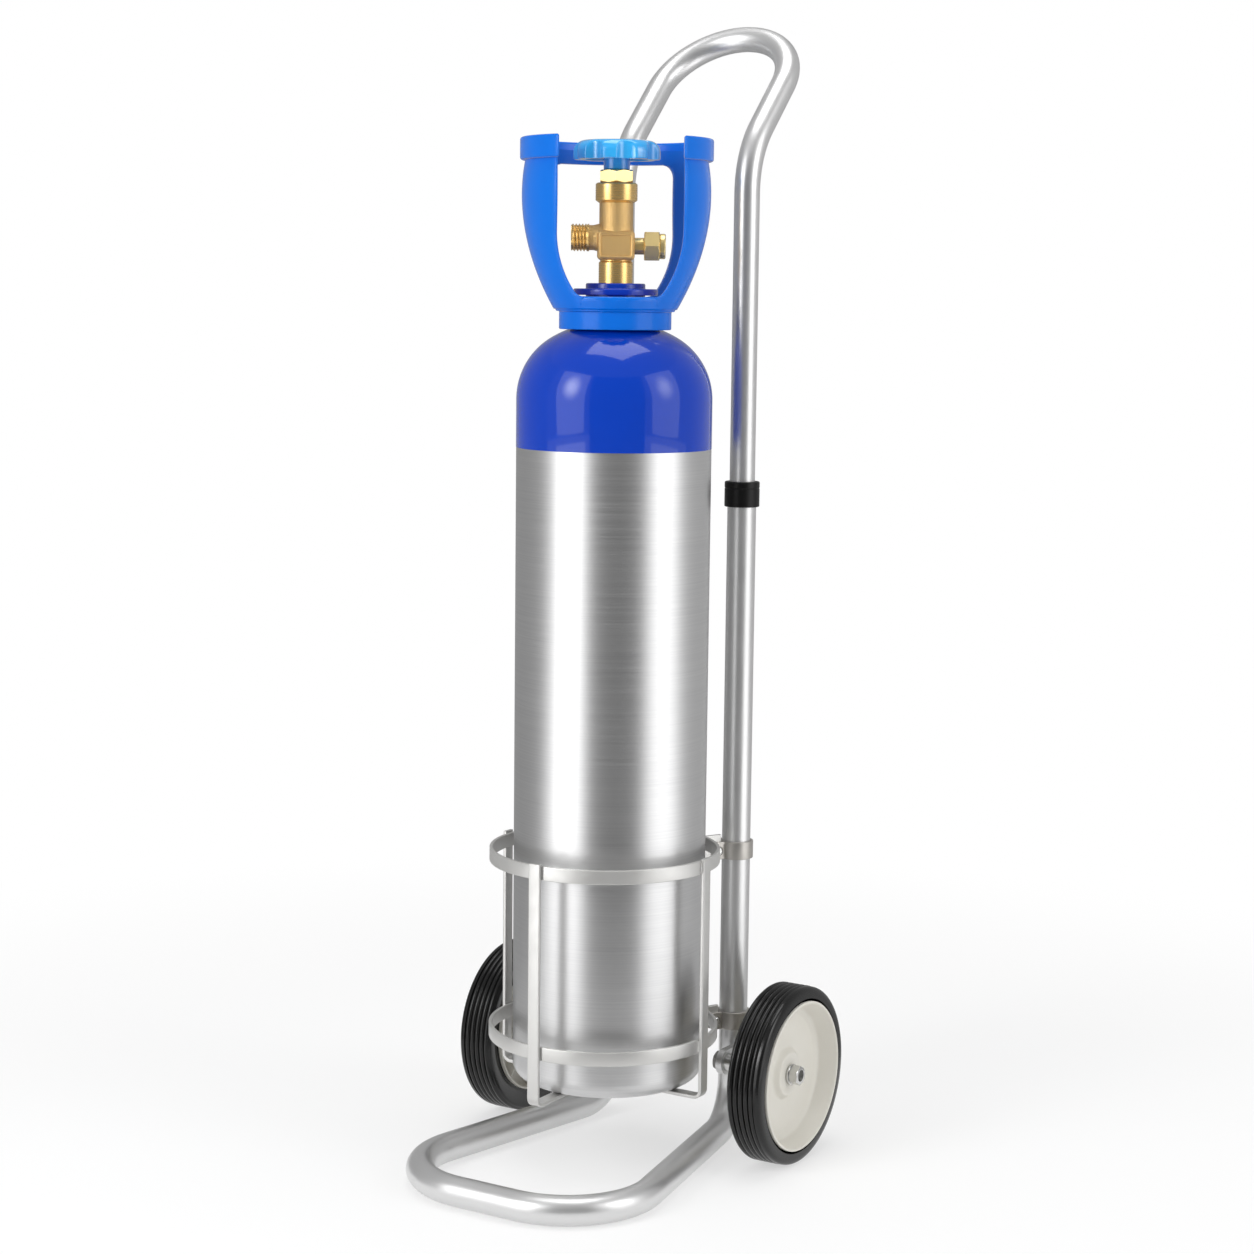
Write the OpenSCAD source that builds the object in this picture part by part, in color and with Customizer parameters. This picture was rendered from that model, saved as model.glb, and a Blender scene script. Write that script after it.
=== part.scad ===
// Gas cylinder trolley: a bent-tube frame with a telescopic handle and two wheels, a flat-bar cage hung on
// the uprights by pipe clips, and the valved gas cylinder that stands in the cage and lifts out of it.
// Millimetres, +Z up, the front faces -Y and the floor is at Z = 0.

/* [Frame tube] */
// Outside diameter of the frame tube
frame_tube_d = 25; // [22:0.5:30]
// Wall of the frame tube
frame_tube_wall = 1.2; // [1:0.1:2]
// Distance of each upright's axis from the centre plane
upright_x = 63; // [55:1:75]
// Distance of the uprights behind the cylinder's axis
upright_back = 110; // [108:1:130]
// Height of the uprights' top ends
upright_top = 580; // [450:1:700]
// Distance of the front bar ahead of the cylinder's axis
front_reach = 182; // [160:1:230]
// Half width of the base where the straight runs would cross at the front corners
front_half_w = 119; // [105:1:140]
// Bend radius of the front corners
front_bend_r = 74; // [40:1:80]
// Bend radius of the rear heels
heel_bend_r = 40; // [34:1:55]

/* [Handle] */
// Radial play of the handle legs in the uprights
slide_gap = 0.3; // [0.2:0.05:0.6]
// Wall of the handle tube
handle_wall = 1.5; // [1:0.1:2]
// Straight height of the handle legs above the collars
handle_rise = 247; // [180:1:320]
// Length of the handle legs that stays inside the uprights
handle_insert = 100; // [60:1:160]
// Bend radius where the legs turn to the rear
handle_bend_r = 82; // [50:1:110]
// Lean of the grip loop from the vertical, in degrees
handle_lean = 44; // [20:1:60]
// Straight arm between the bend and the round grip loop
handle_arm = 53; // [20:1:90]
// Length of the plug head below each handle leg
plug_head = 8; // [4:1:14]
// Length of the plug spigot inside each handle leg
plug_spigot = 18; // [10:1:30]

/* [Collars] */
// Height of the plastic collars
collar_h = 22; // [16:1:34]
// Wall of the plastic collars
collar_wall = 2.7; // [2:0.1:4]
// Lip of each collar above the upright's end
collar_lip = 5; // [3:0.5:8]

/* [Cage] */
// Outside diameter of the two hoops
hoop_d = 198; // [194:1:206]
// Distance of the hoops' centre ahead of the cylinder's axis
cage_forward = 7.5; // [3:0.5:9]
// Thickness of the flat bar
bar_t = 3; // [2:0.25:4]
// Width of the flat bar
bar_w = 12; // [10:0.5:16]
// Height of the upper hoop's middle
upper_hoop_z = 269; // [220:1:330]
// Height of the lower hoop's middle
lower_hoop_z = 115; // [108:1:150]
// Height of the underside of the strap feet
foot_z = 68.5; // [60:0.5:76]
// Width of the straps
strap_w = 11; // [9:0.5:15]
// Distance of the front strap to the left of the centre plane
strap_shift = 4.7; // [0:0.1:6]
// Inside bend radius of the straps at their feet
strap_bend_r = 5; // [3:0.5:10]
// Height of the strap ends above the upper hoop's edge
strap_nub = 1.5; // [0:0.5:4]
// Slit between the two ends of each hoop
hoop_slit = 1.8; // [1:0.1:4]
// Weld gap between the straps and the hoops
weld_gap = 0.1; // [0.05:0.05:0.3]

/* [Pipe clips] */
// Step of the hoops' lugs below the hoops' upper edges
lug_step = 1; // [0.5:0.5:4]
// Height of the clip band and its ears
clip_h = 15.5; // [12:0.5:18]
// Thickness of the clip band
clip_t = 2.5; // [1.5:0.1:3]
// Distance from the upright's axis to the clip bolt
clip_bolt_reach = 21; // [20:0.5:23]
// Distance of the clip band below its hoop's middle
clip_drop = 9; // [0:0.5:12]
// Diameter of the clip bolts
clip_bolt_d = 5; // [4:0.5:6]
// Diameter of the clip bolts' round heads
clip_head_d = 9; // [7:0.5:10]
// Height of the clip bolts' heads
clip_head_h = 3; // [2:0.5:4]
// Width across flats of the clip nuts
clip_nut_af = 8; // [7:0.5:10]
// Thickness of the clip nuts
clip_nut_h = 4; // [3:0.5:5]

/* [Wheels] */
// Outside diameter of the tyres
wheel_d = 155; // [140:1:170]
// Width of the tyres
tyre_w = 33; // [28:1:40]
// Distance of each wheel's middle from the centre plane
wheel_x = 138; // [134:1:160]
// Distance of the axle ahead of the uprights
axle_forward = 39; // [32:1:45]
// Depth of the tyre from its tread to its seat on the hub
tyre_depth = 14; // [12:0.5:19]
// Step of the hub's outer lip above the tyre's seat
lip_step = 1.5; // [0.5:0.5:3]
// Step of the hub's back lip below the tyre's seat
back_lip_step = 5.7; // [4:0.1:8]
// Thickness of the hub's back lip
back_lip_wall = 1.8; // [1.2:0.1:3]
// Thickness of the tyre's two beads
bead_t = 3; // [2:0.5:5]
// Height of the hub lip above the tyre's outer side
lip_proud = 1.2; // [0.5:0.1:2]
// Depth of the hub's outer face below its lip
recess_depth = 18; // [12:0.5:22]
// Thickness of the hub's web
web_t = 4; // [3:0.5:6]
// Radius of the outer boss at its foot
boss_foot_r = 21.3; // [18:0.1:25]
// Radius of the outer boss at its top
boss_top_r = 18.4; // [15:0.1:21]
// Height of the outer boss
boss_h = 5; // [3:0.5:8]
// Length of the inner boss behind the web
inner_boss_len = 16.7; // [10:0.1:22]
// Number of radial ribs behind the web
rib_count = 8; // [5:1:12]
// Thickness of the radial ribs
rib_t = 3; // [2:0.5:4]
// Wall of the inner boss around the bush
inner_boss_wall = 6; // [4:0.5:8]
// Number of raised rings on the tread
tread_rings = 5; // [4:1:7]
// Depth of the grooves between the tread rings
groove_depth = 2; // [1:0.1:3]
// Width of the smooth outer shoulder of the tyre
shoulder_w = 4; // [2:0.5:6]
// Drop of the tyre's shoulder below its tread
shoulder_drop = 5; // [3:0.5:8]

/* [Axles] */
// Diameter of the axle bolts
axle_d = 10; // [8:0.5:12]
// Running play between axle and bush, radial
axle_play = 0.05; // [0.02:0.01:0.1]
// Side play of the wheels
side_play = 0.3; // [0.2:0.1:1]
// Wall of the wheel bushes
bush_wall = 3; // [2:0.5:4]
// Thickness of the axle brackets
bracket_t = 6; // [5:0.5:8]
// Depth of the bracket's groove around the upright
bracket_bite = 1.5; // [1:0.25:3]
// Height of the axle brackets
bracket_h = 22; // [20:1:28]
// Wall of the spacer tubes
spacer_wall = 3; // [2:0.5:4]
// Width across flats of the axle nuts and bolt heads
axle_nut_af = 15; // [14:0.5:19]
// Thickness of the axle nuts
axle_nut_h = 8; // [6:0.5:10]
// Thickness of the axle bolts' heads
axle_head_h = 5; // [4:0.1:8]
// Outside diameter of the axle washers
washer_d = 18; // [17:0.5:24]
// Thickness of the axle washers
washer_t = 2; // [1:0.25:3]
// Depth of the bolt's end inside the nut
bolt_recess = 1.5; // [0:0.25:3]

/* [Gas cylinder] */
// Outside diameter of the gas cylinder
cylinder_d = 165; // [155:0.5:168]
// Wall of the gas cylinder
cylinder_wall = 9; // [6:0.5:11]
// Radius of the rounded bottom corner
bottom_corner_r = 14; // [12:0.5:24]
// Straight length from the bottom to the shoulder
straight_len = 585.5; // [450:0.5:700]
// Knuckle radius of the shoulder
knuckle_r = 60; // [50:1:66]
// Distance of the paint edge below the shoulder
paint_drop = 40.5; // [10:0.5:120]
// Radius of the flat boss under the neck ring
neck_boss_r = 35; // [32:0.5:40]
// Rise of that boss above the crown
neck_boss_rise = 5; // [4:0.5:8]
// Radius of the neck
neck_r = 25; // [22:0.5:28]
// Radius of the neck's bore
neck_bore_r = 12; // [10:0.25:13]
// Radius of the neck seal
seal_r = 16; // [15:0.5:18]
// Thickness of the neck seal
seal_t = 3; // [2:0.5:4]
// Outside radius of the neck ring
ring_r = 41.8; // [38:0.1:44]
// Height of the neck ring
ring_h = 12; // [8:0.5:16]

/* [Valve guard] */
// Turn of the valve about the cylinder's axis, in degrees
valve_turn = 32; // [0:1:90]
// Turn of the guard about the cylinder's axis, in degrees
guard_turn = 36; // [0:1:90]
// Wall of the guard
guard_wall = 5; // [4:0.5:6]
// Thickness of the guard's floor
guard_floor_t = 10; // [6:0.5:12]
// Radius of the guard's barrel-shaped outline
guard_curve_r = 150; // [140:1:170]
// Largest outside radius of the guard's posts
guard_r = 79.5; // [77:0.5:82]
// Share of the guard's height at which it is widest
guard_waist_share = 0.6; // [0.54:0.01:0.65]
// Height of the guard above the cylinder's neck
guard_h = 130; // [120:1:150]
// Step of the guard's top band beyond its posts
band_step = 5; // [3:0.5:7]
// Thickness of the guard's top band
band_t = 9; // [7:0.5:11]
// Height of the guard's top band
band_h = 19; // [14:0.5:24]
// Depth of the guard's collar below the neck boss
collar_drop = 5; // [3:0.5:6]
// Half width of the guard's windows
window_half_w = 51; // [44:0.5:54]
// Corner radius at the foot of the windows
window_foot_r = 9; // [6:1:14]
// Radius of the windows' curved sides
window_side_r = 91; // [80:1:120]
// Height above the sill where the windows are widest
window_rise = 54; // [46:1:60]
// Height of the guard's bridge under its band, above the rear window
window_bridge = 2; // [1:0.5:6]
// Corner radius at the head of the rear window
window_head_r = 12; // [8:1:20]
// Height of the windows' sill above the guard's floor
window_sill = 2; // [1:0.5:6]

/* [Valve] */
// Radius of the lower flange disc
flange_low_r = 35.5; // [30:0.5:38]
// Thickness of the lower flange disc
flange_low_t = 5.5; // [4:0.5:7]
// Radius of the upper flange disc
flange_top_r = 25; // [20:0.5:28]
// Thickness of the upper flange disc
flange_top_t = 4.5; // [3:0.5:6]
// Radius of the valve's round stem and neck
stem_r = 14.3; // [13:0.1:15]
// Height of the round stem under the block
stem_h = 19.5; // [14:0.5:26]
// Width of the square valve block
block_w = 31.3; // [30:0.1:36]
// Height of the square valve block
block_h = 22.5; // [20:0.5:30]
// Height of the round neck above the block
valve_neck_h = 26; // [24:0.5:34]
// Radius of the bonnet ring
bonnet_r = 17.5; // [16:0.5:20]
// Height of the bonnet ring
bonnet_h = 15; // [12:0.5:20]
// Width across flats of the gland nut
gland_af = 27; // [25:0.5:30]
// Height of the gland nut's hexagon
gland_h = 11; // [8:0.5:14]
// Radius of the outlet's thread crest
outlet_r = 11.45; // [10:0.05:12.5]
// Length of the outlet from the valve's axis
outlet_len = 37.6; // [34:0.1:44]
// Length of the outlet's thread
outlet_thread = 15; // [10:0.5:18]
// Depth of the outlet's thread
thread_depth = 1; // [0.5:0.25:2]
// Height of the outlet's axis above the block's foot
outlet_rise = 18.2; // [16:0.1:20]
// Height of the relief valve's axis above the block's foot
relief_rise = 11.5; // [9:0.1:13]
// Radius of the gas passages
passage_r = 4; // [3:0.25:4.5]
// Width across flats of the relief valve's hexagon
relief_af = 23.5; // [20:0.5:25]
// Distance from the valve's axis to the relief hexagon
relief_hex_x = 23.5; // [20:0.5:28]
// Length of the relief hexagon
relief_hex_len = 13; // [10:0.5:16]
// Radius of the relief cap
relief_cap_r = 10.5; // [8:0.1:11]
// Length of the relief cap
relief_cap_len = 5; // [3:0.5:8]
// Radius of the relief stem
relief_stem_r = 7; // [5:0.25:8]
// Depth of the relief stem in the valve block
relief_depth = 5; // [3:0.5:5.5]
// Radius of the burst disc
burst_r = 6; // [5:0.25:8]
// Thickness of the burst disc
burst_t = 0.5; // [0.3:0.1:1]

/* [Spindle and handwheel] */
// Radius of the valve chamber
chamber_r = 10; // [9:0.25:11]
// Height of the seat above the block's foot
seat_rise = 15.5; // [15:0.1:17]
// Radius of the spindle
spindle_r = 6; // [5:0.25:7]
// Radius of the handwheel's seat on the spindle
tang_r = 4; // [3:0.25:4.5]
// Lift of the valve plug when it is fully open
plug_lift = 5; // [3:0.5:6]
// Height of the valve plug
plug_h = 13; // [11:0.5:14]
// Radius of the soft seat disc
seat_disc_r = 6; // [5:0.25:7]
// Thickness of the soft seat disc
seat_disc_t = 3.7; // [3:0.1:4]
// Depth of the soft seat disc in the plug
seat_disc_inset = 1.5; // [1:0.1:2]
// Width of the driving tongue
tongue_w = 10; // [8:0.5:11]
// Thickness of the driving tongue
tongue_t = 3; // [2:0.25:4]
// Length of the driving tongue
tongue_len = 9; // [7:0.5:10]
// Height of the thrust collar on the spindle
thrust_h = 4; // [3:0.5:6]
// Height of the packing, and of the bonnet's floor under it
packing_h = 4; // [3:0.5:5]
// Wall of the packing beyond the valve chamber
packing_step = 1; // [0.5:0.25:2]
// Depth of the spindle's shoulder in the handwheel's hub
shoulder_depth = 4; // [2:0.5:6]
// Radius of the handwheel
handwheel_r = 36.4; // [32:0.1:40]
// Height of the handwheel's rim
handwheel_h = 18; // [14:0.5:20]
// Radius of the handwheel's hub
hub_r = 11; // [9:0.5:13]
// Height of the handwheel's hub below its rim
hub_h = 8; // [5:0.5:12]
// Number of finger scallops
scallops = 8; // [5:1:10]
// Radius of the finger scallops
scallop_r = 9; // [6:0.5:11]
// Depth of the finger scallops
scallop_depth = 3.5; // [2:0.5:5]
// Depth of the dished top of the handwheel
dish_depth = 8; // [6:0.5:10]
// Width across flats of the handwheel nut
wheel_nut_af = 13; // [10:0.5:16]
// Thickness of the handwheel nut
wheel_nut_h = 6; // [4:0.5:7]

/* [Hidden] */
$fn = 64;
// Assembly clearance between pieces that are fixed to each other
fixed_gap = 0.05;
// Gap between faces that move past or rest against each other
rest_gap = 0.3;
// Steps of a rounded corner in an outline
round_steps = 8;
// Loss of a tube's wall on each face where it is bent
bend_thinning = 0.06;
// Length of each straight run that laps over a bend
bend_lap = 1.5;

// Frame
tube_r = frame_tube_d / 2;
tube_bore_r = tube_r - frame_tube_wall;
leg_turn = atan2(upright_back + front_reach, upright_x - front_half_w);
corner_run = front_bend_r * tan(leg_turn / 2);
corner_x = front_half_w - corner_run;
leg_start = [corner_x + front_bend_r * sin(leg_turn), -front_reach + front_bend_r * (1 - cos(leg_turn))];
leg_len = norm([upright_x, upright_back] - leg_start) - heel_bend_r;

// Handle
handle_r = tube_bore_r - slide_gap;
handle_bore_r = handle_r - handle_wall;
collar_top = upright_top + collar_lip;
handle_foot_z = collar_top - handle_insert;
handle_bend_z = collar_top + handle_rise;
arm_start_y = upright_back + handle_bend_r * (1 - cos(handle_lean));
arm_start_z = handle_bend_z + handle_bend_r * sin(handle_lean);
loop_y = arm_start_y + handle_arm * sin(handle_lean);
loop_z = arm_start_z + handle_arm * cos(handle_lean);
rear_reach = loop_y + upright_x * sin(handle_lean) + handle_r;
// The origin lies midway between the front bar and the rear of the grip loop
cylinder_y = (front_reach + tube_r - rear_reach) / 2;

// Cage and clips
hoop_r = hoop_d / 2;
strap_in_r = hoop_r + weld_gap;
strap_out_r = strap_in_r + bar_t;
strap_top = upper_hoop_z + bar_w / 2 + strap_nub;
clip_angle = atan2(upright_back + cage_forward, upright_x);
clip_distance = norm([upright_x, upright_back + cage_forward]);
bolt_distance = clip_distance - clip_bolt_reach;
clip_bore_r = tube_r + fixed_gap;
clip_out_r = clip_bore_r + clip_t;
ear_end = clip_bolt_reach + clip_head_d / 2;
lug_gap = fixed_gap;
ear_out = bar_t / 2 + lug_gap + clip_t;

// Wheels and axles
wheel_r = wheel_d / 2;
axle_y = upright_back - axle_forward;
axle_r = axle_d / 2;
bush_bore_r = axle_r + axle_play;
bush_r = bush_bore_r + bush_wall;
half_w = tyre_w / 2;
web_out = half_w + lip_proud - recess_depth;
web_in = web_out - web_t;
hub_in = web_in - inner_boss_len;
hub_out = web_out + boss_h;
seat_r = wheel_r - tyre_depth;
lip_r = seat_r + lip_step;
back_lip_r = seat_r - back_lip_step;
boss_bore_r = bush_r + fixed_gap;
bracket_in = upright_x + tube_r - bracket_bite;
bracket_out = bracket_in + bracket_t;
washer_in = wheel_x + hub_out + side_play;
nut_in = washer_in + washer_t;
nut_out = nut_in + axle_nut_h;

// Gas cylinder
cyl_r = cylinder_d / 2;
cyl_z = foot_z + bar_t;
shoulder_z = cyl_z + straight_len;
paint_z = shoulder_z - paint_drop;
knuckle_sweep = 60;
knuckle_x = cyl_r - knuckle_r;
crown_step = knuckle_x / cos(knuckle_sweep);
crown_r = knuckle_r + crown_step;
crown_z = shoulder_z - crown_step * sin(knuckle_sweep);
crown_in_r = crown_r - cylinder_wall;
boss_z = crown_z + sqrt(crown_r * crown_r - neck_boss_r * neck_boss_r) + neck_boss_rise;
ring_top = boss_z + ring_h;
neck_top = ring_top + guard_floor_t;
guard_top = neck_top + guard_h;
guard_waist = guard_h * guard_waist_share;
post_top_r = guard_r - guard_curve_r
    + sqrt(guard_curve_r * guard_curve_r - pow(guard_h - band_h - guard_waist, 2));
band_r = post_top_r + band_step;

// Valve levels
flange_mid = neck_top + flange_low_t;
valve_z = flange_mid + flange_top_t;
block_z = valve_z + stem_h;
valve_neck_z = block_z + block_h;
bonnet_z = valve_neck_z + valve_neck_h;
gland_z = bonnet_z + bonnet_h;
hub_z = gland_z + gland_h;
rim_z = hub_z + hub_h;
handwheel_top = rim_z + handwheel_h;
outlet_z = block_z + outlet_rise;
relief_z = block_z + relief_rise;
seat_z = block_z + seat_rise;
valve_foot = boss_z - neck_boss_rise;
plug_z = seat_z + rest_gap + seat_disc_t - seat_disc_inset;
plug_top = plug_z + plug_h;
thrust_z = plug_top + plug_lift + rest_gap;
skirt_z = thrust_z + thrust_h + rest_gap;
packing_z = bonnet_z + packing_h;
packing_r = chamber_r + packing_step;
tongue_z = thrust_z - tongue_len;
slot_z = tongue_z - plug_lift - rest_gap;
spindle_shoulder = hub_z + shoulder_depth;
dish_z = handwheel_top - dish_depth;

// Points of an arc about a centre, from one angle to another
function arc(c, r, a0, a1, n = round_steps) =
    [for (i = [0:n]) let (a = a0 + (a1 - a0) * i / n) c + r * [cos(a), sin(a)]];

// Cross-section of a tube
module tube_section(r_out, r_in) {
    difference() {
        circle(r_out);
        circle(r_in);
    }
}

// Hollow round piece that stands on its base
module sleeve(r_out, r_in, h) {
    linear_extrude(h) tube_section(r_out, r_in);
}

// Hexagonal prism that stands on its base
module hex_prism(af, h) {
    cylinder(h = h, r = af / sqrt(3), $fn = 6);
}

// Bend of a tube about Z that starts at -Y, heading along +X, and turns to the left.
// Bending thins its wall a little, so the straight runs lap over its ends.
module tube_bend(bend_r, sweep, r_out, r_in) {
    rotate([0, 0, -90])
        rotate_extrude(angle = sweep, $fn = 96)
            translate([bend_r, 0]) tube_section(r_out - bend_thinning, r_in + bend_thinning);
}

// Straight run of a tube along +X that laps over the bends at one or both of its ends
module tube_run(len, r_out, r_in, lap_start = bend_lap, lap_end = bend_lap) {
    translate([-lap_start, 0, 0]) rotate([0, 90, 0]) sleeve(r_out, r_in, len + lap_start + lap_end);
}

// Both copies of a piece that is made for the right side
module both_sides() {
    children();
    mirror([1, 0, 0]) children();
}

// Right or left copy of a piece that is made for the right side
module on_side(side) {
    if (side > 0) children();
    else mirror([1, 0, 0]) children();
}

// Right side of the bent frame tube, from the front corner to the top of the upright
module frame_side() {
    translate([corner_x, front_bend_r - front_reach, tube_r]) {
        tube_bend(front_bend_r, leg_turn, tube_r, tube_bore_r);
        rotate([0, 0, leg_turn]) translate([0, -front_bend_r, 0]) {
            tube_run(leg_len, tube_r, tube_bore_r);
            translate([leg_len, 0, heel_bend_r]) rotate([90, 0, 0])
                tube_bend(heel_bend_r, 90, tube_r, tube_bore_r);
        }
    }
    translate([upright_x, upright_back, tube_r + heel_bend_r]) rotate([0, -90, 0])
        tube_run(upright_top - tube_r - heel_bend_r, tube_r, tube_bore_r, lap_end = 0);
}

module lower_frame_tube() {
    color("silver") {
        translate([-corner_x, -front_reach, tube_r]) tube_run(2 * corner_x, tube_r, tube_bore_r);
        both_sides() frame_side();
    }
}

// Plastic collar around the top of the right upright
module collar_right() {
    color([0.08, 0.08, 0.09]) translate([upright_x, upright_back, collar_top - collar_h]) difference() {
        cylinder(h = collar_h, r = tube_r + fixed_gap + collar_wall);
        translate([0, 0, -1]) cylinder(h = collar_h + 2, r = handle_r + slide_gap);
        translate([0, 0, -1]) cylinder(h = collar_h - collar_lip + 1, r = tube_r + fixed_gap);
    }
}

// Flat-bar hoop with a slit beside the front strap, and the two lugs that the clips bolt to
module hoop(z) {
    slit_x = strap_w / 2 + hoop_slit / 2 + weld_gap - strap_shift;
    color([0.8, 0.79, 0.77]) translate([0, -cage_forward, z]) difference() {
        union() {
            translate([0, 0, -bar_w / 2]) sleeve(hoop_r, hoop_r - bar_t, bar_w);
            both_sides() rotate([0, 0, clip_angle])
                translate([hoop_r - bar_t / 2, -bar_t / 2, -clip_drop - bar_w / 2])
                    cube([clip_distance - clip_out_r - 1 - hoop_r + bar_t / 2, bar_t, bar_w + clip_drop - lug_step]);
        }
        translate([slit_x - hoop_slit / 2, -hoop_r - 1, -bar_w]) cube([hoop_slit, bar_t * 2, bar_w * 2]);
        both_sides() rotate([0, 0, clip_angle]) translate([bolt_distance, bar_t, -clip_drop])
            rotate([90, 0, 0]) cylinder(h = bar_t * 2, r = clip_bolt_d / 2 + fixed_gap);
    }
}

// Side view of a strap: down the outside of the hoops, round a bend and inward under the cylinder
function strap_outline(inner_end) = concat(
    [[strap_in_r, strap_top], [strap_in_r, foot_z + bar_t + strap_bend_r]],
    arc([strap_in_r - strap_bend_r, foot_z + bar_t + strap_bend_r], strap_bend_r, 0, -90),
    [[inner_end, foot_z + bar_t], [inner_end, foot_z]],
    arc([strap_in_r - strap_bend_r, foot_z + bar_t + strap_bend_r], strap_bend_r + bar_t, -90, 0),
    [[strap_out_r, strap_top]]
);

// One strap arm along +X, from inner_end outward
module strap_arm(inner_end) {
    translate([0, strap_w / 2, 0]) rotate([90, 0, 0]) linear_extrude(strap_w) polygon(strap_outline(inner_end));
}

module strap_front_rear() {
    color([0.8, 0.79, 0.77]) translate([-strap_shift, -cage_forward, 0]) {
        rotate([0, 0, 90]) strap_arm(0);
        rotate([0, 0, -90]) strap_arm(0);
    }
}

// Strap along +X that ends at the side of the front and rear strap, seen from the right (1) or the left (-1)
module side_strap(side) {
    color([0.8, 0.79, 0.77]) translate([0, -cage_forward, 0]) strap_arm(strap_w / 2 - side * strap_shift);
}

// Place of a clip: origin on the upright's axis, -X towards the hoop's middle
module at_clip(z) {
    translate([upright_x, upright_back, z - clip_drop]) rotate([0, 0, clip_angle]) children();
}

// Pipe clip around the right upright, with two ears that hold a hoop's lug between them
module clip(z) {
    slot = bar_t + 2 * lug_gap;
    color([0.68, 0.66, 0.63]) at_clip(z) difference() {
        union() {
            translate([0, 0, -clip_h / 2]) cylinder(h = clip_h, r = clip_out_r);
            for (s = [-1, 1]) translate([-ear_end, s * (slot + clip_t) / 2 - clip_t / 2, -clip_h / 2])
                cube([ear_end, clip_t, clip_h]);
        }
        translate([0, 0, -clip_h]) cylinder(h = clip_h * 2, r = clip_bore_r);
        translate([-ear_end - 1, -slot / 2, -clip_h]) cube([ear_end + 1, slot, clip_h * 2]);
        translate([-clip_bolt_reach, ear_out + 1, 0]) rotate([90, 0, 0])
            cylinder(h = 2 * ear_out + 2, r = clip_bolt_d / 2 + fixed_gap);
    }
}

// Bolt across one clip, its round head on the outboard ear
module clip_bolt(z) {
    at_clip(z) translate([-clip_bolt_reach, 0, 0]) rotate([90, 0, 0]) {
        translate([0, 0, -ear_out - clip_nut_h]) cylinder(h = 2 * ear_out + clip_nut_h, r = clip_bolt_d / 2);
        translate([0, 0, ear_out]) intersection() {
            cylinder(h = clip_head_h, r = clip_head_d / 2);
            translate([0, 0, clip_head_h - clip_head_d * 0.6]) sphere(clip_head_d * 0.6);
        }
    }
}

module clip_nut(z) {
    at_clip(z) translate([-clip_bolt_reach, ear_out, 0]) rotate([-90, 0, 0]) difference() {
        hex_prism(clip_nut_af, clip_nut_h);
        translate([0, 0, -1]) cylinder(h = clip_nut_h + 2, r = clip_bolt_d / 2 + fixed_gap);
    }
}

module clip_bolts() {
    color("gainsboro") both_sides() for (z = [upper_hoop_z, lower_hoop_z]) clip_bolt(z);
}

module clip_nuts() {
    color("gainsboro") both_sides() for (z = [upper_hoop_z, lower_hoop_z]) clip_nut(z);
}

// Plate saddled on the outboard side of the right upright that carries the wheel's axle bolt
module axle_bracket_right() {
    color("silver") difference() {
        translate([bracket_in, 0, wheel_r]) rotate([90, 0, 90]) linear_extrude(bracket_t) union() {
            translate([axle_y, 0]) circle(bracket_h / 2);
            translate([axle_y, -bracket_h / 2]) square([axle_forward + tube_r * 0.7, bracket_h]);
        }
        translate([upright_x, upright_back, 0]) cylinder(h = wheel_d, r = tube_r);
        translate([bracket_in - 1, axle_y, wheel_r]) rotate([0, 90, 0])
            cylinder(h = bracket_t + 2, r = axle_r + fixed_gap);
    }
}

// Places a piece made along +Z on the axle's line, at a distance from the centre plane
module on_axle(x) {
    translate([x, axle_y, wheel_r]) rotate([0, 90, 0]) children();
}

module axle_bolt_right() {
    color("gainsboro") {
        on_axle(bracket_in - axle_head_h) hex_prism(axle_nut_af, axle_head_h);
        on_axle(bracket_in) cylinder(h = nut_out - bolt_recess - bracket_in, r = axle_r);
    }
}

module axle_spacers() {
    color("gainsboro") both_sides() on_axle(bracket_out)
        sleeve(axle_r + fixed_gap + spacer_wall, axle_r + fixed_gap, wheel_x + hub_in - side_play - bracket_out);
}

module axle_washers() {
    color("gainsboro") both_sides() on_axle(washer_in) sleeve(washer_d / 2, axle_r + fixed_gap, washer_t);
}

module axle_nuts() {
    color("gainsboro") both_sides() on_axle(nut_in) difference() {
        hex_prism(axle_nut_af, axle_nut_h);
        translate([0, 0, -1]) cylinder(h = axle_nut_h + 2, r = axle_r + fixed_gap);
    }
}

// Start of the handle's right arm: origin on its axis, +X along the arm
module at_handle_arm() {
    translate([upright_x, arm_start_y, arm_start_z]) rotate([0, -90, 0]) rotate([0, 0, handle_lean]) children();
}

// Right leg of the handle tube with its bend and its arm
module handle_side() {
    translate([upright_x, upright_back, handle_foot_z]) rotate([0, -90, 0])
        tube_run(handle_bend_z - handle_foot_z, handle_r, handle_bore_r, lap_start = 0);
    translate([upright_x, upright_back + handle_bend_r, handle_bend_z]) rotate([0, -90, 0])
        tube_bend(handle_bend_r, handle_lean, handle_r, handle_bore_r);
    at_handle_arm() tube_run(handle_arm, handle_r, handle_bore_r);
}

module handle_tube() {
    color("silver") {
        both_sides() handle_side();
        at_handle_arm() translate([handle_arm, 0, upright_x]) rotate([90, 0, 0])
            tube_bend(upright_x, 180, handle_r, handle_bore_r);
    }
}

// Guide plug in the foot of the right handle leg
module handle_plug_right() {
    color([0.1, 0.1, 0.11]) translate([upright_x, upright_back, handle_foot_z - plug_head]) {
        cylinder(h = plug_head, r = handle_r);
        cylinder(h = plug_head + plug_spigot, r = handle_bore_r - fixed_gap);
    }
}

// Places a wheel piece made about Z, its outer side up, on the right axle
module at_wheel() {
    on_axle(wheel_x) children();
}

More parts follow.
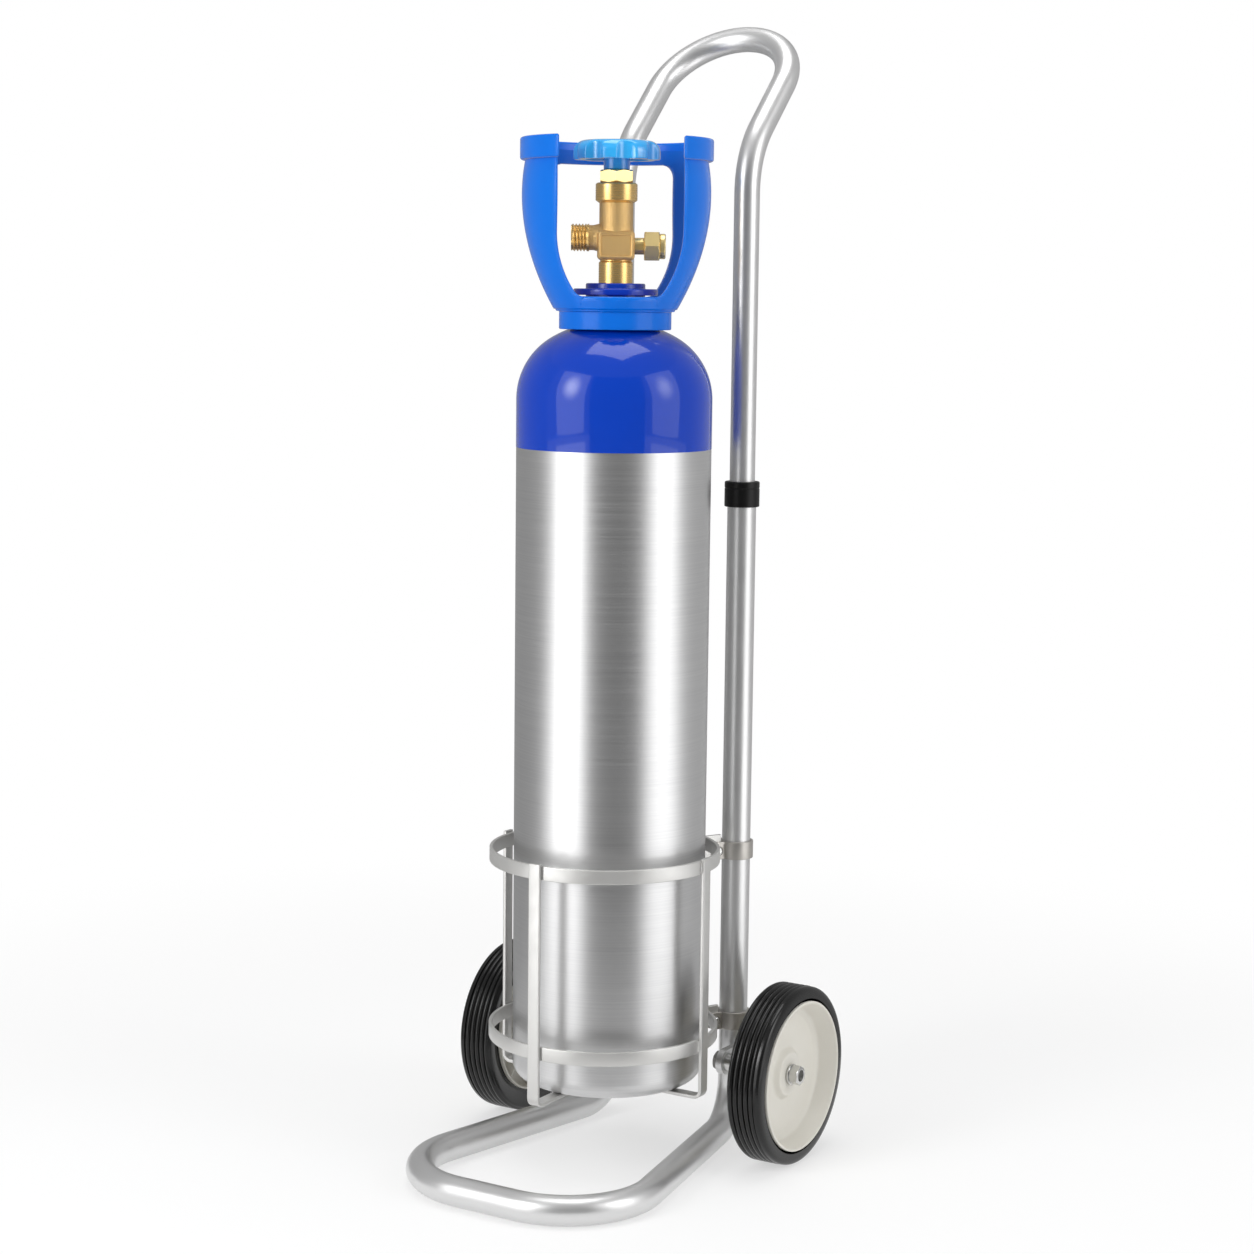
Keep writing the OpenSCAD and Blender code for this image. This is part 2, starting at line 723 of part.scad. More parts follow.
module wheel_hub_right() {
    rib_start = boss_bore_r + inner_boss_wall / 2;
    rib_end = back_lip_r - back_lip_wall / 2;
    rib_z = hub_in + inner_boss_len / 3;
    back_z = -half_w - lip_proud / 3;
    color([0.87, 0.86, 0.82]) at_wheel() {
        rotate_extrude($fn = 96) polygon([
            [boss_bore_r, hub_in], [boss_bore_r + inner_boss_wall, hub_in], [boss_bore_r + inner_boss_wall, web_in],
            [back_lip_r - back_lip_wall, web_in], [back_lip_r - back_lip_wall, back_z], [back_lip_r, back_z],
            [back_lip_r, bead_t + fixed_gap - half_w], [seat_r, bead_t + fixed_gap - half_w],
            [seat_r, half_w - bead_t], [lip_r, half_w - bead_t], [lip_r, half_w + lip_proud],
            [lip_r - back_lip_wall, half_w + lip_proud], [back_lip_r, web_out + web_t / 2],
            [back_lip_r - web_t / 2, web_out], [boss_foot_r, web_out], [boss_top_r, hub_out], [boss_bore_r, hub_out]
        ]);
        for (i = [0:rib_count - 1]) rotate([0, 0, i * 360 / rib_count]) translate([rib_start, -rib_t / 2, rib_z])
            cube([rib_end - rib_start, rib_t, web_out - web_t / 2 - rib_z]);
    }
}

// Half-round rings across the tread, from the inner edge outward
function tread_points(z0, z1) = let (n = 6 * tread_rings)
    [for (i = [0:n]) [wheel_r - groove_depth * (1 - abs(sin(30 * i))), z0 + (z1 - z0) * i / n]];

module tyre_right() {
    bore = seat_r + fixed_gap;
    color([0.07, 0.07, 0.07]) at_wheel() rotate_extrude($fn = 96) polygon(concat(
        [[back_lip_r + fixed_gap, -half_w], [wheel_r - shoulder_drop, -half_w]],
        tread_points(-half_w + shoulder_w / 3, half_w - shoulder_w),
        arc([wheel_r - shoulder_drop, half_w - shoulder_w], shoulder_w, 60, 90),
        [[lip_r + fixed_gap, half_w], [lip_r + fixed_gap, half_w - bead_t - fixed_gap],
         [bore, half_w - bead_t - fixed_gap], [bore, bead_t - half_w], [back_lip_r + fixed_gap, bead_t - half_w]]
    ));
}

module wheel_bush_right() {
    color("dimgray") at_wheel() translate([0, 0, hub_in]) sleeve(bush_r, bush_bore_r, hub_out - hub_in);
}

// Outline of the bare aluminium part of the cylinder, below the paint edge
function shell_low_outline() = let (c = [cyl_r - bottom_corner_r, cyl_z + bottom_corner_r]) concat(
    [[0, cyl_z]], arc(c, bottom_corner_r, -90, 0), [[cyl_r, paint_z], [cyl_r - cylinder_wall, paint_z]],
    arc(c, bottom_corner_r - cylinder_wall, 0, -90), [[0, cyl_z + cylinder_wall]]
);

// Outline of the painted shoulder, with the neck boss, the neck and its bore
function shell_top_outline() = let (
    k = [knuckle_x, shoulder_z],
    c = [0, crown_z],
    boss_a = acos(neck_boss_r / crown_r),
    bore_a = acos(neck_bore_r / crown_in_r)
) concat(
    [[cyl_r, paint_z]], arc(k, knuckle_r, 0, knuckle_sweep, 12), arc(c, crown_r, knuckle_sweep + 2, boss_a, 4),
    [[neck_boss_r, boss_z], [neck_r, boss_z], [neck_r, neck_top], [seal_r + fixed_gap, neck_top],
     [seal_r + fixed_gap, neck_top - seal_t], [neck_bore_r, neck_top - seal_t]],
    arc(c, crown_in_r, bore_a, knuckle_sweep + 2, 6), arc(k, knuckle_r - cylinder_wall, knuckle_sweep, 0, 12),
    [[cyl_r - cylinder_wall, paint_z]]
);

module cylinder_shell() {
    color("silver") rotate_extrude($fn = 128) polygon(shell_low_outline());
    color([0.03, 0.12, 0.75]) rotate_extrude($fn = 128) polygon(shell_top_outline());
}

module neck_ring() {
    color([0.03, 0.12, 0.75]) translate([0, 0, boss_z]) sleeve(ring_r, neck_r + fixed_gap, ring_h);
}

module neck_seal() {
    color([0.1, 0.1, 0.1]) translate([0, 0, neck_top - seal_t]) sleeve(seal_r, neck_bore_r, seal_t);
}

// Half outline of the guard: collar, floor, barrel-shaped wall and top band
module guard_outline() {
    curve = [guard_r - guard_curve_r, neck_top + guard_waist];
    collar_in = ring_r + fixed_gap;
    wall_foot = boss_z + ring_h * 0.75;
    intersection() {
        translate(curve) tube_section(guard_curve_r, guard_curve_r - guard_wall);
        translate([ring_r, wall_foot]) square([guard_r, guard_top - band_h * 0.75 - wall_foot]);
    }
    translate([collar_in, boss_z - collar_drop]) square([guard_wall, ring_h + collar_drop + guard_floor_t / 2]);
    translate([neck_r + fixed_gap, ring_top]) square([ring_r - neck_r + 1.5 * guard_wall, guard_floor_t]);
    translate([band_r - band_t, guard_top - band_h]) square([band_t, band_h]);
}

// Outline of a window through the guard, in its own width and height
function window_outline(top, head_r) = let (
    sill = neck_top + window_sill,
    side = window_side_r - window_foot_r,
    lean = asin((window_foot_r - window_rise) / side),
    side_x = window_half_w - window_side_r,
    right = concat(
        arc([side_x + side * cos(lean), sill + window_foot_r], window_foot_r, -90, lean),
        arc([side_x, sill + window_rise], window_side_r, lean, 0),
        arc([window_half_w - head_r, top - head_r], head_r, 0, 90)
    ),
    n = len(right)
) concat(right, [for (i = [1:n]) [-right[n - i][0], right[n - i][1]]]);

module valve_guard() {
    color([0.05, 0.4, 0.9]) rotate([0, 0, guard_turn]) difference() {
        rotate_extrude($fn = 96) guard_outline();
        rotate([90, 0, 0]) linear_extrude(2 * band_r)
            polygon(window_outline(guard_top + band_h, window_head_r));
        rotate([90, 0, 180]) linear_extrude(2 * band_r)
            polygon(window_outline(guard_top - band_h - window_bridge, window_head_r));
    }
}

module valve_flange() {
    bore = neck_bore_r + fixed_gap;
    color([0.03, 0.12, 0.75]) {
        translate([0, 0, neck_top]) sleeve(flange_low_r, bore, flange_low_t);
        translate([0, 0, flange_mid]) sleeve(flange_top_r, bore, flange_top_t);
    }
}

// Places a piece made along +Z on a side port, pointing along +X or -X of the valve
module on_port(side, z) {
    translate([0, 0, z]) rotate([0, side * 90, 0]) children();
}

module valve_body() {
    color([0.78, 0.6, 0.28]) rotate([0, 0, valve_turn]) difference() {
        union() {
            translate([0, 0, valve_foot]) cylinder(h = valve_z - valve_foot, r = neck_bore_r - fixed_gap);
            translate([0, 0, valve_z]) cylinder(h = bonnet_z - valve_z, r = stem_r);
            translate([-block_w / 2, -block_w / 2, block_z]) cube([block_w, block_w, block_h]);
            on_port(-1, outlet_z) cylinder(h = outlet_len - outlet_thread, r = outlet_r - thread_depth);
            on_port(-1, outlet_z) translate([0, 0, outlet_len - outlet_thread])
                cylinder(h = outlet_thread, r = outlet_r);
        }
        translate([0, 0, seat_z]) cylinder(h = valve_neck_h + block_h, r = chamber_r);
        translate([0, 0, valve_foot - seal_t]) cylinder(h = seat_z - valve_foot + 2 * seal_t, r = passage_r);
        on_port(-1, outlet_z) translate([0, 0, chamber_r * 0.8]) cylinder(h = outlet_len, r = passage_r);
        on_port(1, relief_z) cylinder(h = block_w, r = passage_r / 2);
        on_port(1, relief_z) translate([0, 0, block_w / 2 - relief_depth])
            cylinder(h = 2 * relief_depth, r = relief_stem_r + fixed_gap);
    }
}

// Bonnet screwed into the valve body, which holds the spindle down and carries the packing
module valve_bonnet() {
    color([0.8, 0.63, 0.3]) difference() {
        union() {
            translate([0, 0, bonnet_z]) cylinder(h = bonnet_h, r = bonnet_r);
            translate([0, 0, skirt_z]) cylinder(h = bonnet_z - skirt_z, r = chamber_r - fixed_gap);
        }
        translate([0, 0, skirt_z - 1]) cylinder(h = gland_z - skirt_z + 2, r = spindle_r + axle_play);
        translate([0, 0, packing_z]) cylinder(h = gland_z - packing_z + 1, r = packing_r + fixed_gap);
    }
}

module gland_packing() {
    color("whitesmoke") translate([0, 0, packing_z]) sleeve(packing_r, spindle_r + axle_play, packing_h);
}

module gland_nut() {
    color([0.82, 0.65, 0.32]) difference() {
        union() {
            translate([0, 0, gland_z]) hex_prism(gland_af, gland_h - rest_gap);
            translate([0, 0, packing_z + packing_h]) cylinder(h = gland_z - packing_z - packing_h, r = packing_r);
        }
        translate([0, 0, packing_z]) cylinder(h = hub_z - packing_z, r = spindle_r + axle_play);
    }
}

// Relief valve on the right port: stem, hexagon, burst disc and cap
module relief_body() {
    color([0.75, 0.6, 0.25]) rotate([0, 0, valve_turn]) on_port(1, relief_z) difference() {
        union() {
            translate([0, 0, block_w / 2 - relief_depth])
                cylinder(h = relief_hex_x - block_w / 2 + relief_depth, r = relief_stem_r);
            translate([0, 0, relief_hex_x]) rotate([0, 0, 30]) hex_prism(relief_af, relief_hex_len);
        }
        cylinder(h = relief_hex_x + 2 * relief_hex_len, r = passage_r / 2);
        translate([0, 0, relief_hex_x + relief_hex_len - burst_t])
            cylinder(h = 2 * burst_t, r = burst_r + fixed_gap);
    }
}

module burst_disc() {
    color("gainsboro") rotate([0, 0, valve_turn]) on_port(1, relief_z)
        translate([0, 0, relief_hex_x + relief_hex_len - burst_t]) cylinder(h = burst_t, r = burst_r);
}

module relief_cap() {
    color([0.75, 0.6, 0.25]) rotate([0, 0, valve_turn]) on_port(1, relief_z)
        translate([0, 0, relief_hex_x + relief_hex_len]) difference() {
            cylinder(h = relief_cap_len, r = relief_cap_r);
            translate([0, 0, -1]) cylinder(h = relief_cap_len + 2, r = passage_r / 2);
        }
}

// Spindle with its driving tongue, thrust collar, round stem and the handwheel's seat
module valve_spindle() {
    color("goldenrod") {
        translate([-tongue_w / 2, -tongue_t / 2, tongue_z]) cube([tongue_w, tongue_t, thrust_z - tongue_z]);
        translate([0, 0, thrust_z]) cylinder(h = thrust_h, r = chamber_r - rest_gap);
        translate([0, 0, thrust_z + thrust_h]) cylinder(h = spindle_shoulder - thrust_z - thrust_h, r = spindle_r);
        translate([0, 0, spindle_shoulder]) cylinder(h = dish_z + wheel_nut_h + 1 - spindle_shoulder, r = tang_r);
    }
}

module handwheel() {
    dish_r = handwheel_r - scallop_depth - 4;
    color([0.25, 0.62, 0.9]) difference() {
        union() {
            translate([0, 0, hub_z]) cylinder(h = hub_h + 1, r = hub_r);
            translate([0, 0, rim_z]) cylinder(h = handwheel_h, r = handwheel_r);
        }
        for (i = [0:scallops - 1]) rotate([0, 0, i * 360 / scallops])
            translate([handwheel_r + scallop_r - scallop_depth, 0, rim_z - 1])
                cylinder(h = handwheel_h + 2, r = scallop_r);
        translate([0, 0, dish_z]) cylinder(h = dish_depth + 1, r = dish_r);
        translate([0, 0, rim_z - 1]) sleeve(dish_r, hub_r + 3, handwheel_h - dish_depth - 4);
        translate([0, 0, hub_z - 1]) cylinder(h = spindle_shoulder - hub_z + 1, r = spindle_r + fixed_gap);
        translate([0, 0, hub_z]) cylinder(h = handwheel_top - hub_z, r = tang_r + fixed_gap);
    }
}

module handwheel_nut() {
    color("gainsboro") translate([0, 0, dish_z]) difference() {
        hex_prism(wheel_nut_af, wheel_nut_h);
        translate([0, 0, -1]) cylinder(h = wheel_nut_h + 2, r = tang_r + fixed_gap);
    }
}

// Plug that the spindle's tongue lifts off the seat
module valve_plug() {
    color([0.8, 0.63, 0.3]) difference() {
        translate([0, 0, plug_z]) cylinder(h = plug_h, r = chamber_r - rest_gap);
        translate([-tongue_w / 2 - rest_gap, -tongue_t / 2 - rest_gap, slot_z])
            cube([tongue_w + 2 * rest_gap, tongue_t + 2 * rest_gap, plug_h + plug_lift]);
        translate([0, 0, plug_z - 1]) cylinder(h = seat_disc_inset + 1, r = seat_disc_r + fixed_gap);
    }
}

module seat_disc() {
    color("whitesmoke") translate([0, 0, plug_z + seat_disc_inset - seat_disc_t])
        cylinder(h = seat_disc_t, r = seat_disc_r);
}

// Moves the trolley so that its origin lies at the middle of its footprint
module placed() {
    translate([0, cylinder_y, 0]) children();
}

placed() lower_frame_tube();
placed() on_side(-1) collar_right();  // collar_left
placed() on_side(1) collar_right();
placed() hoop(upper_hoop_z);  // upper_hoop
placed() hoop(lower_hoop_z);  // lower_hoop
placed() strap_front_rear();
placed() on_side(-1) side_strap(-1);  // strap_left
placed() on_side(1) side_strap(1);  // strap_right
placed() on_side(-1) clip(upper_hoop_z);  // clip_upper_left
placed() on_side(1) clip(upper_hoop_z);  // clip_upper_right
placed() on_side(-1) clip(lower_hoop_z);  // clip_lower_left
placed() on_side(1) clip(lower_hoop_z);  // clip_lower_right
placed() clip_bolts();
placed() clip_nuts();
placed() on_side(-1) axle_bracket_right();  // axle_bracket_left
placed() on_side(1) axle_bracket_right();
placed() on_side(-1) axle_bolt_right();  // axle_bolt_left
placed() on_side(1) axle_bolt_right();
placed() axle_spacers();
placed() axle_washers();
placed() axle_nuts();
placed() handle_tube();
placed() on_side(-1) handle_plug_right();  // handle_plug_left
placed() on_side(1) handle_plug_right();
placed() on_side(-1) wheel_hub_right();  // wheel_hub_left
placed() on_side(1) wheel_hub_right();
placed() on_side(-1) tyre_right();  // tyre_left
placed() on_side(1) tyre_right();
placed() on_side(-1) wheel_bush_right();  // wheel_bush_left
placed() on_side(1) wheel_bush_right();
placed() cylinder_shell();
placed() neck_ring();
placed() neck_seal();
placed() valve_guard();
placed() valve_flange();
placed() valve_body();
placed() valve_bonnet();
placed() gland_packing();
placed() gland_nut();
placed() relief_body();
placed() burst_disc();
placed() relief_cap();
placed() valve_spindle();
placed() handwheel();
placed() handwheel_nut();
placed() valve_plug();
placed() seat_disc();
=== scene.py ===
# %% [markdown]
# # Gas cylinder trolley
# A bent-tube trolley with two wheels and a telescopic handle carries a gas cylinder in a flat-bar cage. The
# solids already hold every size. This lesson dresses them with smooth surfaces, rounded edges and finishes.
# Sizes are in millimetres about the cylinder's upright axis, and turn into metres when a mesh is made.

# %% Load the solids
import math
import bmesh
import bpy
import numpy as np
from mathutils import Matrix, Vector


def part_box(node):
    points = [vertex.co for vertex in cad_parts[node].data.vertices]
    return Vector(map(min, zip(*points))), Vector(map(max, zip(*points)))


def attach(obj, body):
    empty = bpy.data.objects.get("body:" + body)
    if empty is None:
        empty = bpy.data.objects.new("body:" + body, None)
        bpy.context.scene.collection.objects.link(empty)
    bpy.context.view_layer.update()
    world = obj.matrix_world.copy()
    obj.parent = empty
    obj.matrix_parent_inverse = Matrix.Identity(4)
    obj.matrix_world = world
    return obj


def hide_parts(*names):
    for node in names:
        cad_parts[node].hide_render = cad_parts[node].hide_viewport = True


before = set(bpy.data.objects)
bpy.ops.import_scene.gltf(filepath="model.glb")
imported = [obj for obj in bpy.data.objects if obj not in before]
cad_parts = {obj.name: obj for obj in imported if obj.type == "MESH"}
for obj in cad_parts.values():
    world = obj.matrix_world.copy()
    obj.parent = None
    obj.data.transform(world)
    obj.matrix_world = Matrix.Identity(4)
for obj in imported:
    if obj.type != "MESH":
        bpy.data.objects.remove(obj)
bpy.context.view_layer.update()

MM = 0.001
shell_low, shell_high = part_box("cylinder_shell")
AXIS = np.array([0.0, (shell_low[1] + shell_high[1]) / 2, 0.0])
print("cylinder axis at", AXIS.round(5), "and", len(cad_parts), "solids")

# %% [markdown]
# ## Outlines
# Real edges are never sharp: a bar is rolled, a moulding has a draft radius and a turned ring is broken
# with a file. An outline is therefore a list of corners, each with its own radius, and one function rounds
# them all at once.


# %% Rounded outlines
def rounded(corners, steps=5):
    """Closed outline in which each corner (x, y, radius) becomes an arc that touches both of its sides.

    The arc starts radius / tan(half angle) from the corner, and its middle lies on the corner's bisector.
    """
    data = np.asarray(corners, float)
    point, radius = data[:, :2], data[:, 2:]
    back = np.roll(point, 1, 0) - point
    ahead = np.roll(point, -1, 0) - point
    back /= np.linalg.norm(back, axis=1, keepdims=True)
    ahead /= np.linalg.norm(ahead, axis=1, keepdims=True)
    half = np.arccos(np.clip((back * ahead).sum(1, keepdims=True), -1, 1)) / 2
    bisector = back + ahead
    bisector /= np.linalg.norm(bisector, axis=1, keepdims=True) + 1e-12
    middle = point + bisector * radius / np.sin(half)
    first = point + back * radius / np.tan(half) - middle
    last = point + ahead * radius / np.tan(half) - middle
    start = np.arctan2(first[:, 1], first[:, 0])
    turn = (np.arctan2(last[:, 1], last[:, 0]) - start + np.pi) % (2 * np.pi) - np.pi
    angle = start[:, None] + turn[:, None] * np.linspace(0, 1, steps + 1)
    arc = np.stack([np.cos(angle), np.sin(angle)], -1) * radius[:, None]
    return (middle[:, None] + arc).reshape(-1, 2)


def bar_section(width, height, radius, steps=4):
    """Rectangle about its middle, with all four corners rounded by one radius."""
    x, y = width / 2, height / 2
    return rounded([(-x, -y, radius), (x, -y, radius), (x, y, radius), (-x, y, radius)], steps)


def ring_section(radius, steps=40):
    """Circle about its middle: x = radius cos t, y = radius sin t."""
    t = np.linspace(0, 2 * np.pi, steps, endpoint=False)
    return radius * np.stack([np.cos(t), np.sin(t)], 1)


print("a rounded bar has", len(bar_section(12, 3, 0.6)), "points")

# %% [markdown]
# ## Surfaces from grids
# Almost everything here is turned, bent, extruded or swept, so four functions make nearly every surface.
# Each fills a grid of points from whole arrays: a lathe for turned pieces, a sweep for bars and tubes, a
# slab for flat plates, and a hexagon for nuts. A grid closes on itself by joining its last row to its
# first.


# %% Grid, lathe, sweep, slab and hexagon
def grid(points, wrap_rows, wrap_columns):
    """Four-cornered faces between neighbouring rows and columns of points."""
    rows, columns = points.shape[:2]
    u = np.arange(rows if wrap_rows else rows - 1)
    v = np.arange(columns if wrap_columns else columns - 1)
    u, v = np.meshgrid(u, v, indexing="ij")
    u2, v2 = (u + 1) % rows, (v + 1) % columns
    faces = np.stack([u * columns + v, u2 * columns + v, u2 * columns + v2, u * columns + v2], -1)
    return points.reshape(-1, 3), faces.reshape(-1, 4)


def polar(r, t, z):
    """Points about Z from arrays of radius, angle and height that fit together: x = r cos t, y = r sin t."""
    r, t, z = np.broadcast_arrays(r, t, z)
    return np.stack([r * np.cos(t), r * np.sin(t), z], -1)


def capped(points, ends=None):
    """Closes rows of rings by drawing the first and last ring in to its middle, or to given ends."""
    if ends is None:
        ends = points[[0, -1]].mean(1, keepdims=True)
    ends = np.broadcast_to(ends, (2,) + points.shape[1:])
    return grid(np.concatenate([ends[:1], points, ends[1:]]), False, True)


def lathe(profile, steps=96, closed=True):
    """Turns a profile of (radius, height) about Z: x = r cos t, y = r sin t, z = h."""
    t = np.linspace(0, 2 * np.pi, steps, endpoint=False)
    r, z = np.asarray(profile, float).T[..., None]
    return grid(polar(r, t, z), closed, True)


def sweep(path, up, section, loop=False):
    """Carries a section along a path: point = path + side * s + top * u, where side = tangent x up.

    The ends of an open sweep are closed by drawing the first and last section in to the path.
    """
    path = np.asarray(path, float)
    tangent = np.roll(path, -1, 0) - np.roll(path, 1, 0) if loop else np.gradient(path, axis=0)
    side = np.cross(tangent, np.broadcast_to(up, path.shape))
    side /= np.linalg.norm(side, axis=1, keepdims=True)
    top = np.cross(side, tangent)
    top /= np.linalg.norm(top, axis=1, keepdims=True)
    points = path[:, None] + side[:, None] * section[:, :1] + top[:, None] * section[:, 1:]
    return grid(points, True, True) if loop else capped(points, path[[0, -1], None])


def slab(outline, low, high, edge=0.5, steps=4):
    """Stands a counter-clockwise outline up from low to high.

    Both edges are drawn in by a quarter circle: inset = edge (1 - sin a), climb = edge (1 - cos a).
    """
    d = np.roll(outline, -1, 0) - np.roll(outline, 1, 0)
    normal = np.stack([d[:, 1], -d[:, 0]], 1) / np.linalg.norm(d, axis=1, keepdims=True)
    a = np.linspace(0, np.pi / 2, steps + 1)
    inset = edge * (1 - np.sin(a))
    climb = edge * (1 - np.cos(a))
    inset = np.concatenate([inset, inset[::-1]])
    height = np.concatenate([low + climb, high - climb[::-1]])
    flat = outline - normal * inset[:, None, None]
    tall = np.broadcast_to(height[:, None, None], flat.shape[:2] + (1,))
    return capped(np.concatenate([flat, tall], -1))


def hexagon(flats, height, bore, chamfer=1.2, steps=96):
    """Nut about Z: r = (flats / 2) / cos(angle from the nearest flat).

    A cone that climbs 1 for 1.73 outwards cuts the corners at both ends.
    """
    t = np.linspace(0, 2 * np.pi, steps, endpoint=False)
    r_hex = flats / 2 / np.cos(t % (np.pi / 3) - np.pi / 6)
    climb = np.linspace(0, chamfer, 7)
    cone = flats / 2 * 0.96 + climb * 1.73
    z = np.concatenate([[0], climb, height - climb[::-1], [height]])
    limit = np.concatenate([[bore], cone, cone[::-1], [bore]])
    r = np.minimum(r_hex[None], limit[:, None])
    return grid(polar(r, t, z[:, None]), True, True)


def bent(shells, turn=0.0, at=(0, 0, 0), axis="Z"):
    """Turns shells by an angle in degrees about an axis through the origin, then moves them."""
    m = np.array(Matrix.Rotation(math.radians(turn), 3, axis))
    return [(points @ m.T + np.asarray(at, float), faces) for points, faces in shells]


def other_side(shells):
    """Mirror image across the trolley's centre plane: x changes sign."""
    return [(points * (-1, 1, 1), faces[:, ::-1]) for points, faces in shells]


def both_sides(shells):
    """The shells and their mirror image."""
    return shells + other_side(shells)


print("grid helpers ready")

# %% [markdown]
# ## Effects that several finishes share
# Rolled tube, brushed metal, moulded plastic and cast brass all vary a little over their surface. Two node
# groups give that: a soft mottle for roughness and bumps, and brush lines that run round an upright piece.
# They read Object coordinates, so the pattern stays on the piece when it moves.


# %% Node groups
def new_node(tree, kind, **values):
    """Node of a kind in a tree, with plain values for its named inputs."""
    node = tree.nodes.new(kind)
    for label, value in values.items():
        node.inputs[label].default_value = value
    return node


def wire(start, output, end, into):
    """Links an output of one node to an input of another."""
    start.id_data.links.new(start.outputs[output], end.inputs[into])


def new_group(name, inputs, output):
    """Node group with float inputs, given with their defaults, and one float output."""
    tree = bpy.data.node_groups.new(name, "ShaderNodeTree")
    for label, value in inputs.items():
        socket = tree.interface.new_socket(name=label, in_out="INPUT", socket_type="NodeSocketFloat")
        socket.default_value = value
    tree.interface.new_socket(name=output, in_out="OUTPUT", socket_type="NodeSocketFloat")
    return tree, tree.nodes.new("NodeGroupInput"), tree.nodes.new("NodeGroupOutput")


def spread_out(tree, noise, given, result, low, high):
    """Stretches the noise's usual range, from low to high, to the group's own Low and High."""
    spread = new_node(tree, "ShaderNodeMapRange", **{"From Min": low, "From Max": high})
    wire(noise, "Fac", spread, "Value")
    wire(given, "Low", spread, "To Min")
    wire(given, "High", spread, "To Max")
    wire(spread, "Result", result, "Value")


def soft_mottle():
    """Noise value between Low and High at a Scale per metre."""
    tree, given, result = new_group("soft_mottle", {"Scale": 40.0, "Low": 0.3, "High": 0.4}, "Value")
    place = new_node(tree, "ShaderNodeTexCoord")
    noise = new_node(tree, "ShaderNodeTexNoise", Detail=4.0)
    wire(place, "Object", noise, "Vector")
    wire(given, "Scale", noise, "Scale")
    spread_out(tree, noise, given, result, 0.3, 0.7)
    return tree


def brush_lines():
    """Noise stretched round an upright piece: many lines a metre along Z, few across."""
    inputs = {"Along": 900.0, "Across": 6.0, "Low": 0.3, "High": 0.4}
    tree, given, result = new_group("brush_lines", inputs, "Value")
    place = new_node(tree, "ShaderNodeTexCoord")
    join = new_node(tree, "ShaderNodeCombineXYZ")
    stretch = new_node(tree, "ShaderNodeVectorMath")
    stretch.operation = "MULTIPLY"
    noise = new_node(tree, "ShaderNodeTexNoise", Scale=1.0, Detail=3.0)
    wire(given, "Across", join, "X")
    wire(given, "Across", join, "Y")
    wire(given, "Along", join, "Z")
    wire(place, "Object", stretch, 0)
    wire(join, "Vector", stretch, 1)
    wire(stretch, "Vector", noise, "Vector")
    spread_out(tree, noise, given, result, 0.25, 0.75)
    return tree


GROUPS = {"mottle": soft_mottle(), "brush": brush_lines()}
print("groups:", ", ".join(GROUPS))

# %% [markdown]
# ## Finishes
# Each finish is a Principled shader with its plain values set on the shader itself. A group then varies the
# roughness or the colour, or drives a bump for the skin of rubber and cast brass.


# %% Finish helper
SOCKETS = {"coat": "Coat Weight", "coat_roughness": "Coat Roughness", "specular": "Specular IOR Level",
           "anisotropic": "Anisotropic", "turned": "Anisotropic Rotation"}


def principled(made):
    """The Principled shader of a material."""
    return made.node_tree.nodes["Principled BSDF"]


def finish(name, colour, roughness, metallic=0.0, **values):
    """Material with one Principled shader; extra values go to the sockets that SOCKETS names."""
    made = bpy.data.materials.new(name)
    made.use_nodes = True
    shader = principled(made)
    shader.inputs["Base Color"].default_value = (*colour, 1.0)
    shader.inputs["Roughness"].default_value = roughness
    shader.inputs["Metallic"].default_value = metallic
    for label, value in values.items():
        shader.inputs[SOCKETS[label]].default_value = value
    made.diffuse_color = (*colour, 1.0)
    return made


def with_group(made, kind, **values):
    """Places a group in a material with its own values, and returns its output."""
    node = made.node_tree.nodes.new("ShaderNodeGroup")
    node.node_tree = GROUPS[kind]
    for label, value in values.items():
        node.inputs[label.title()].default_value = value
    return node.outputs["Value"]


def vary_roughness(made, kind, **values):
    """Feeds a group's value to the roughness."""
    made.node_tree.links.new(with_group(made, kind, **values), principled(made).inputs["Roughness"])


def mottled(scale, low, high, *given, **values):
    """Finish whose roughness wanders between low and high, at a scale per metre."""
    made = finish(*given, **values)
    vary_roughness(made, "mottle", scale=scale, low=low, high=high)
    return made


def vary_colour(made, dark, light, kind, **values):
    """Blends two colours by a group's value and feeds the base colour."""
    tree = made.node_tree
    ramp = new_node(tree, "ShaderNodeValToRGB")
    ramp.color_ramp.elements[0].color = (*dark, 1.0)
    ramp.color_ramp.elements[1].color = (*light, 1.0)
    tree.links.new(with_group(made, kind, low=0.0, high=1.0, **values), ramp.inputs["Fac"])
    tree.links.new(ramp.outputs["Color"], principled(made).inputs["Base Color"])


def add_bump(made, depth, strength, kind, **values):
    """Feeds a group's value to a bump of the given depth in metres."""
    tree = made.node_tree
    bump = new_node(tree, "ShaderNodeBump", Strength=strength, Distance=depth)
    tree.links.new(with_group(made, kind, low=0.0, high=1.0, **values), bump.inputs["Height"])
    tree.links.new(bump.outputs["Normal"], principled(made).inputs["Normal"])


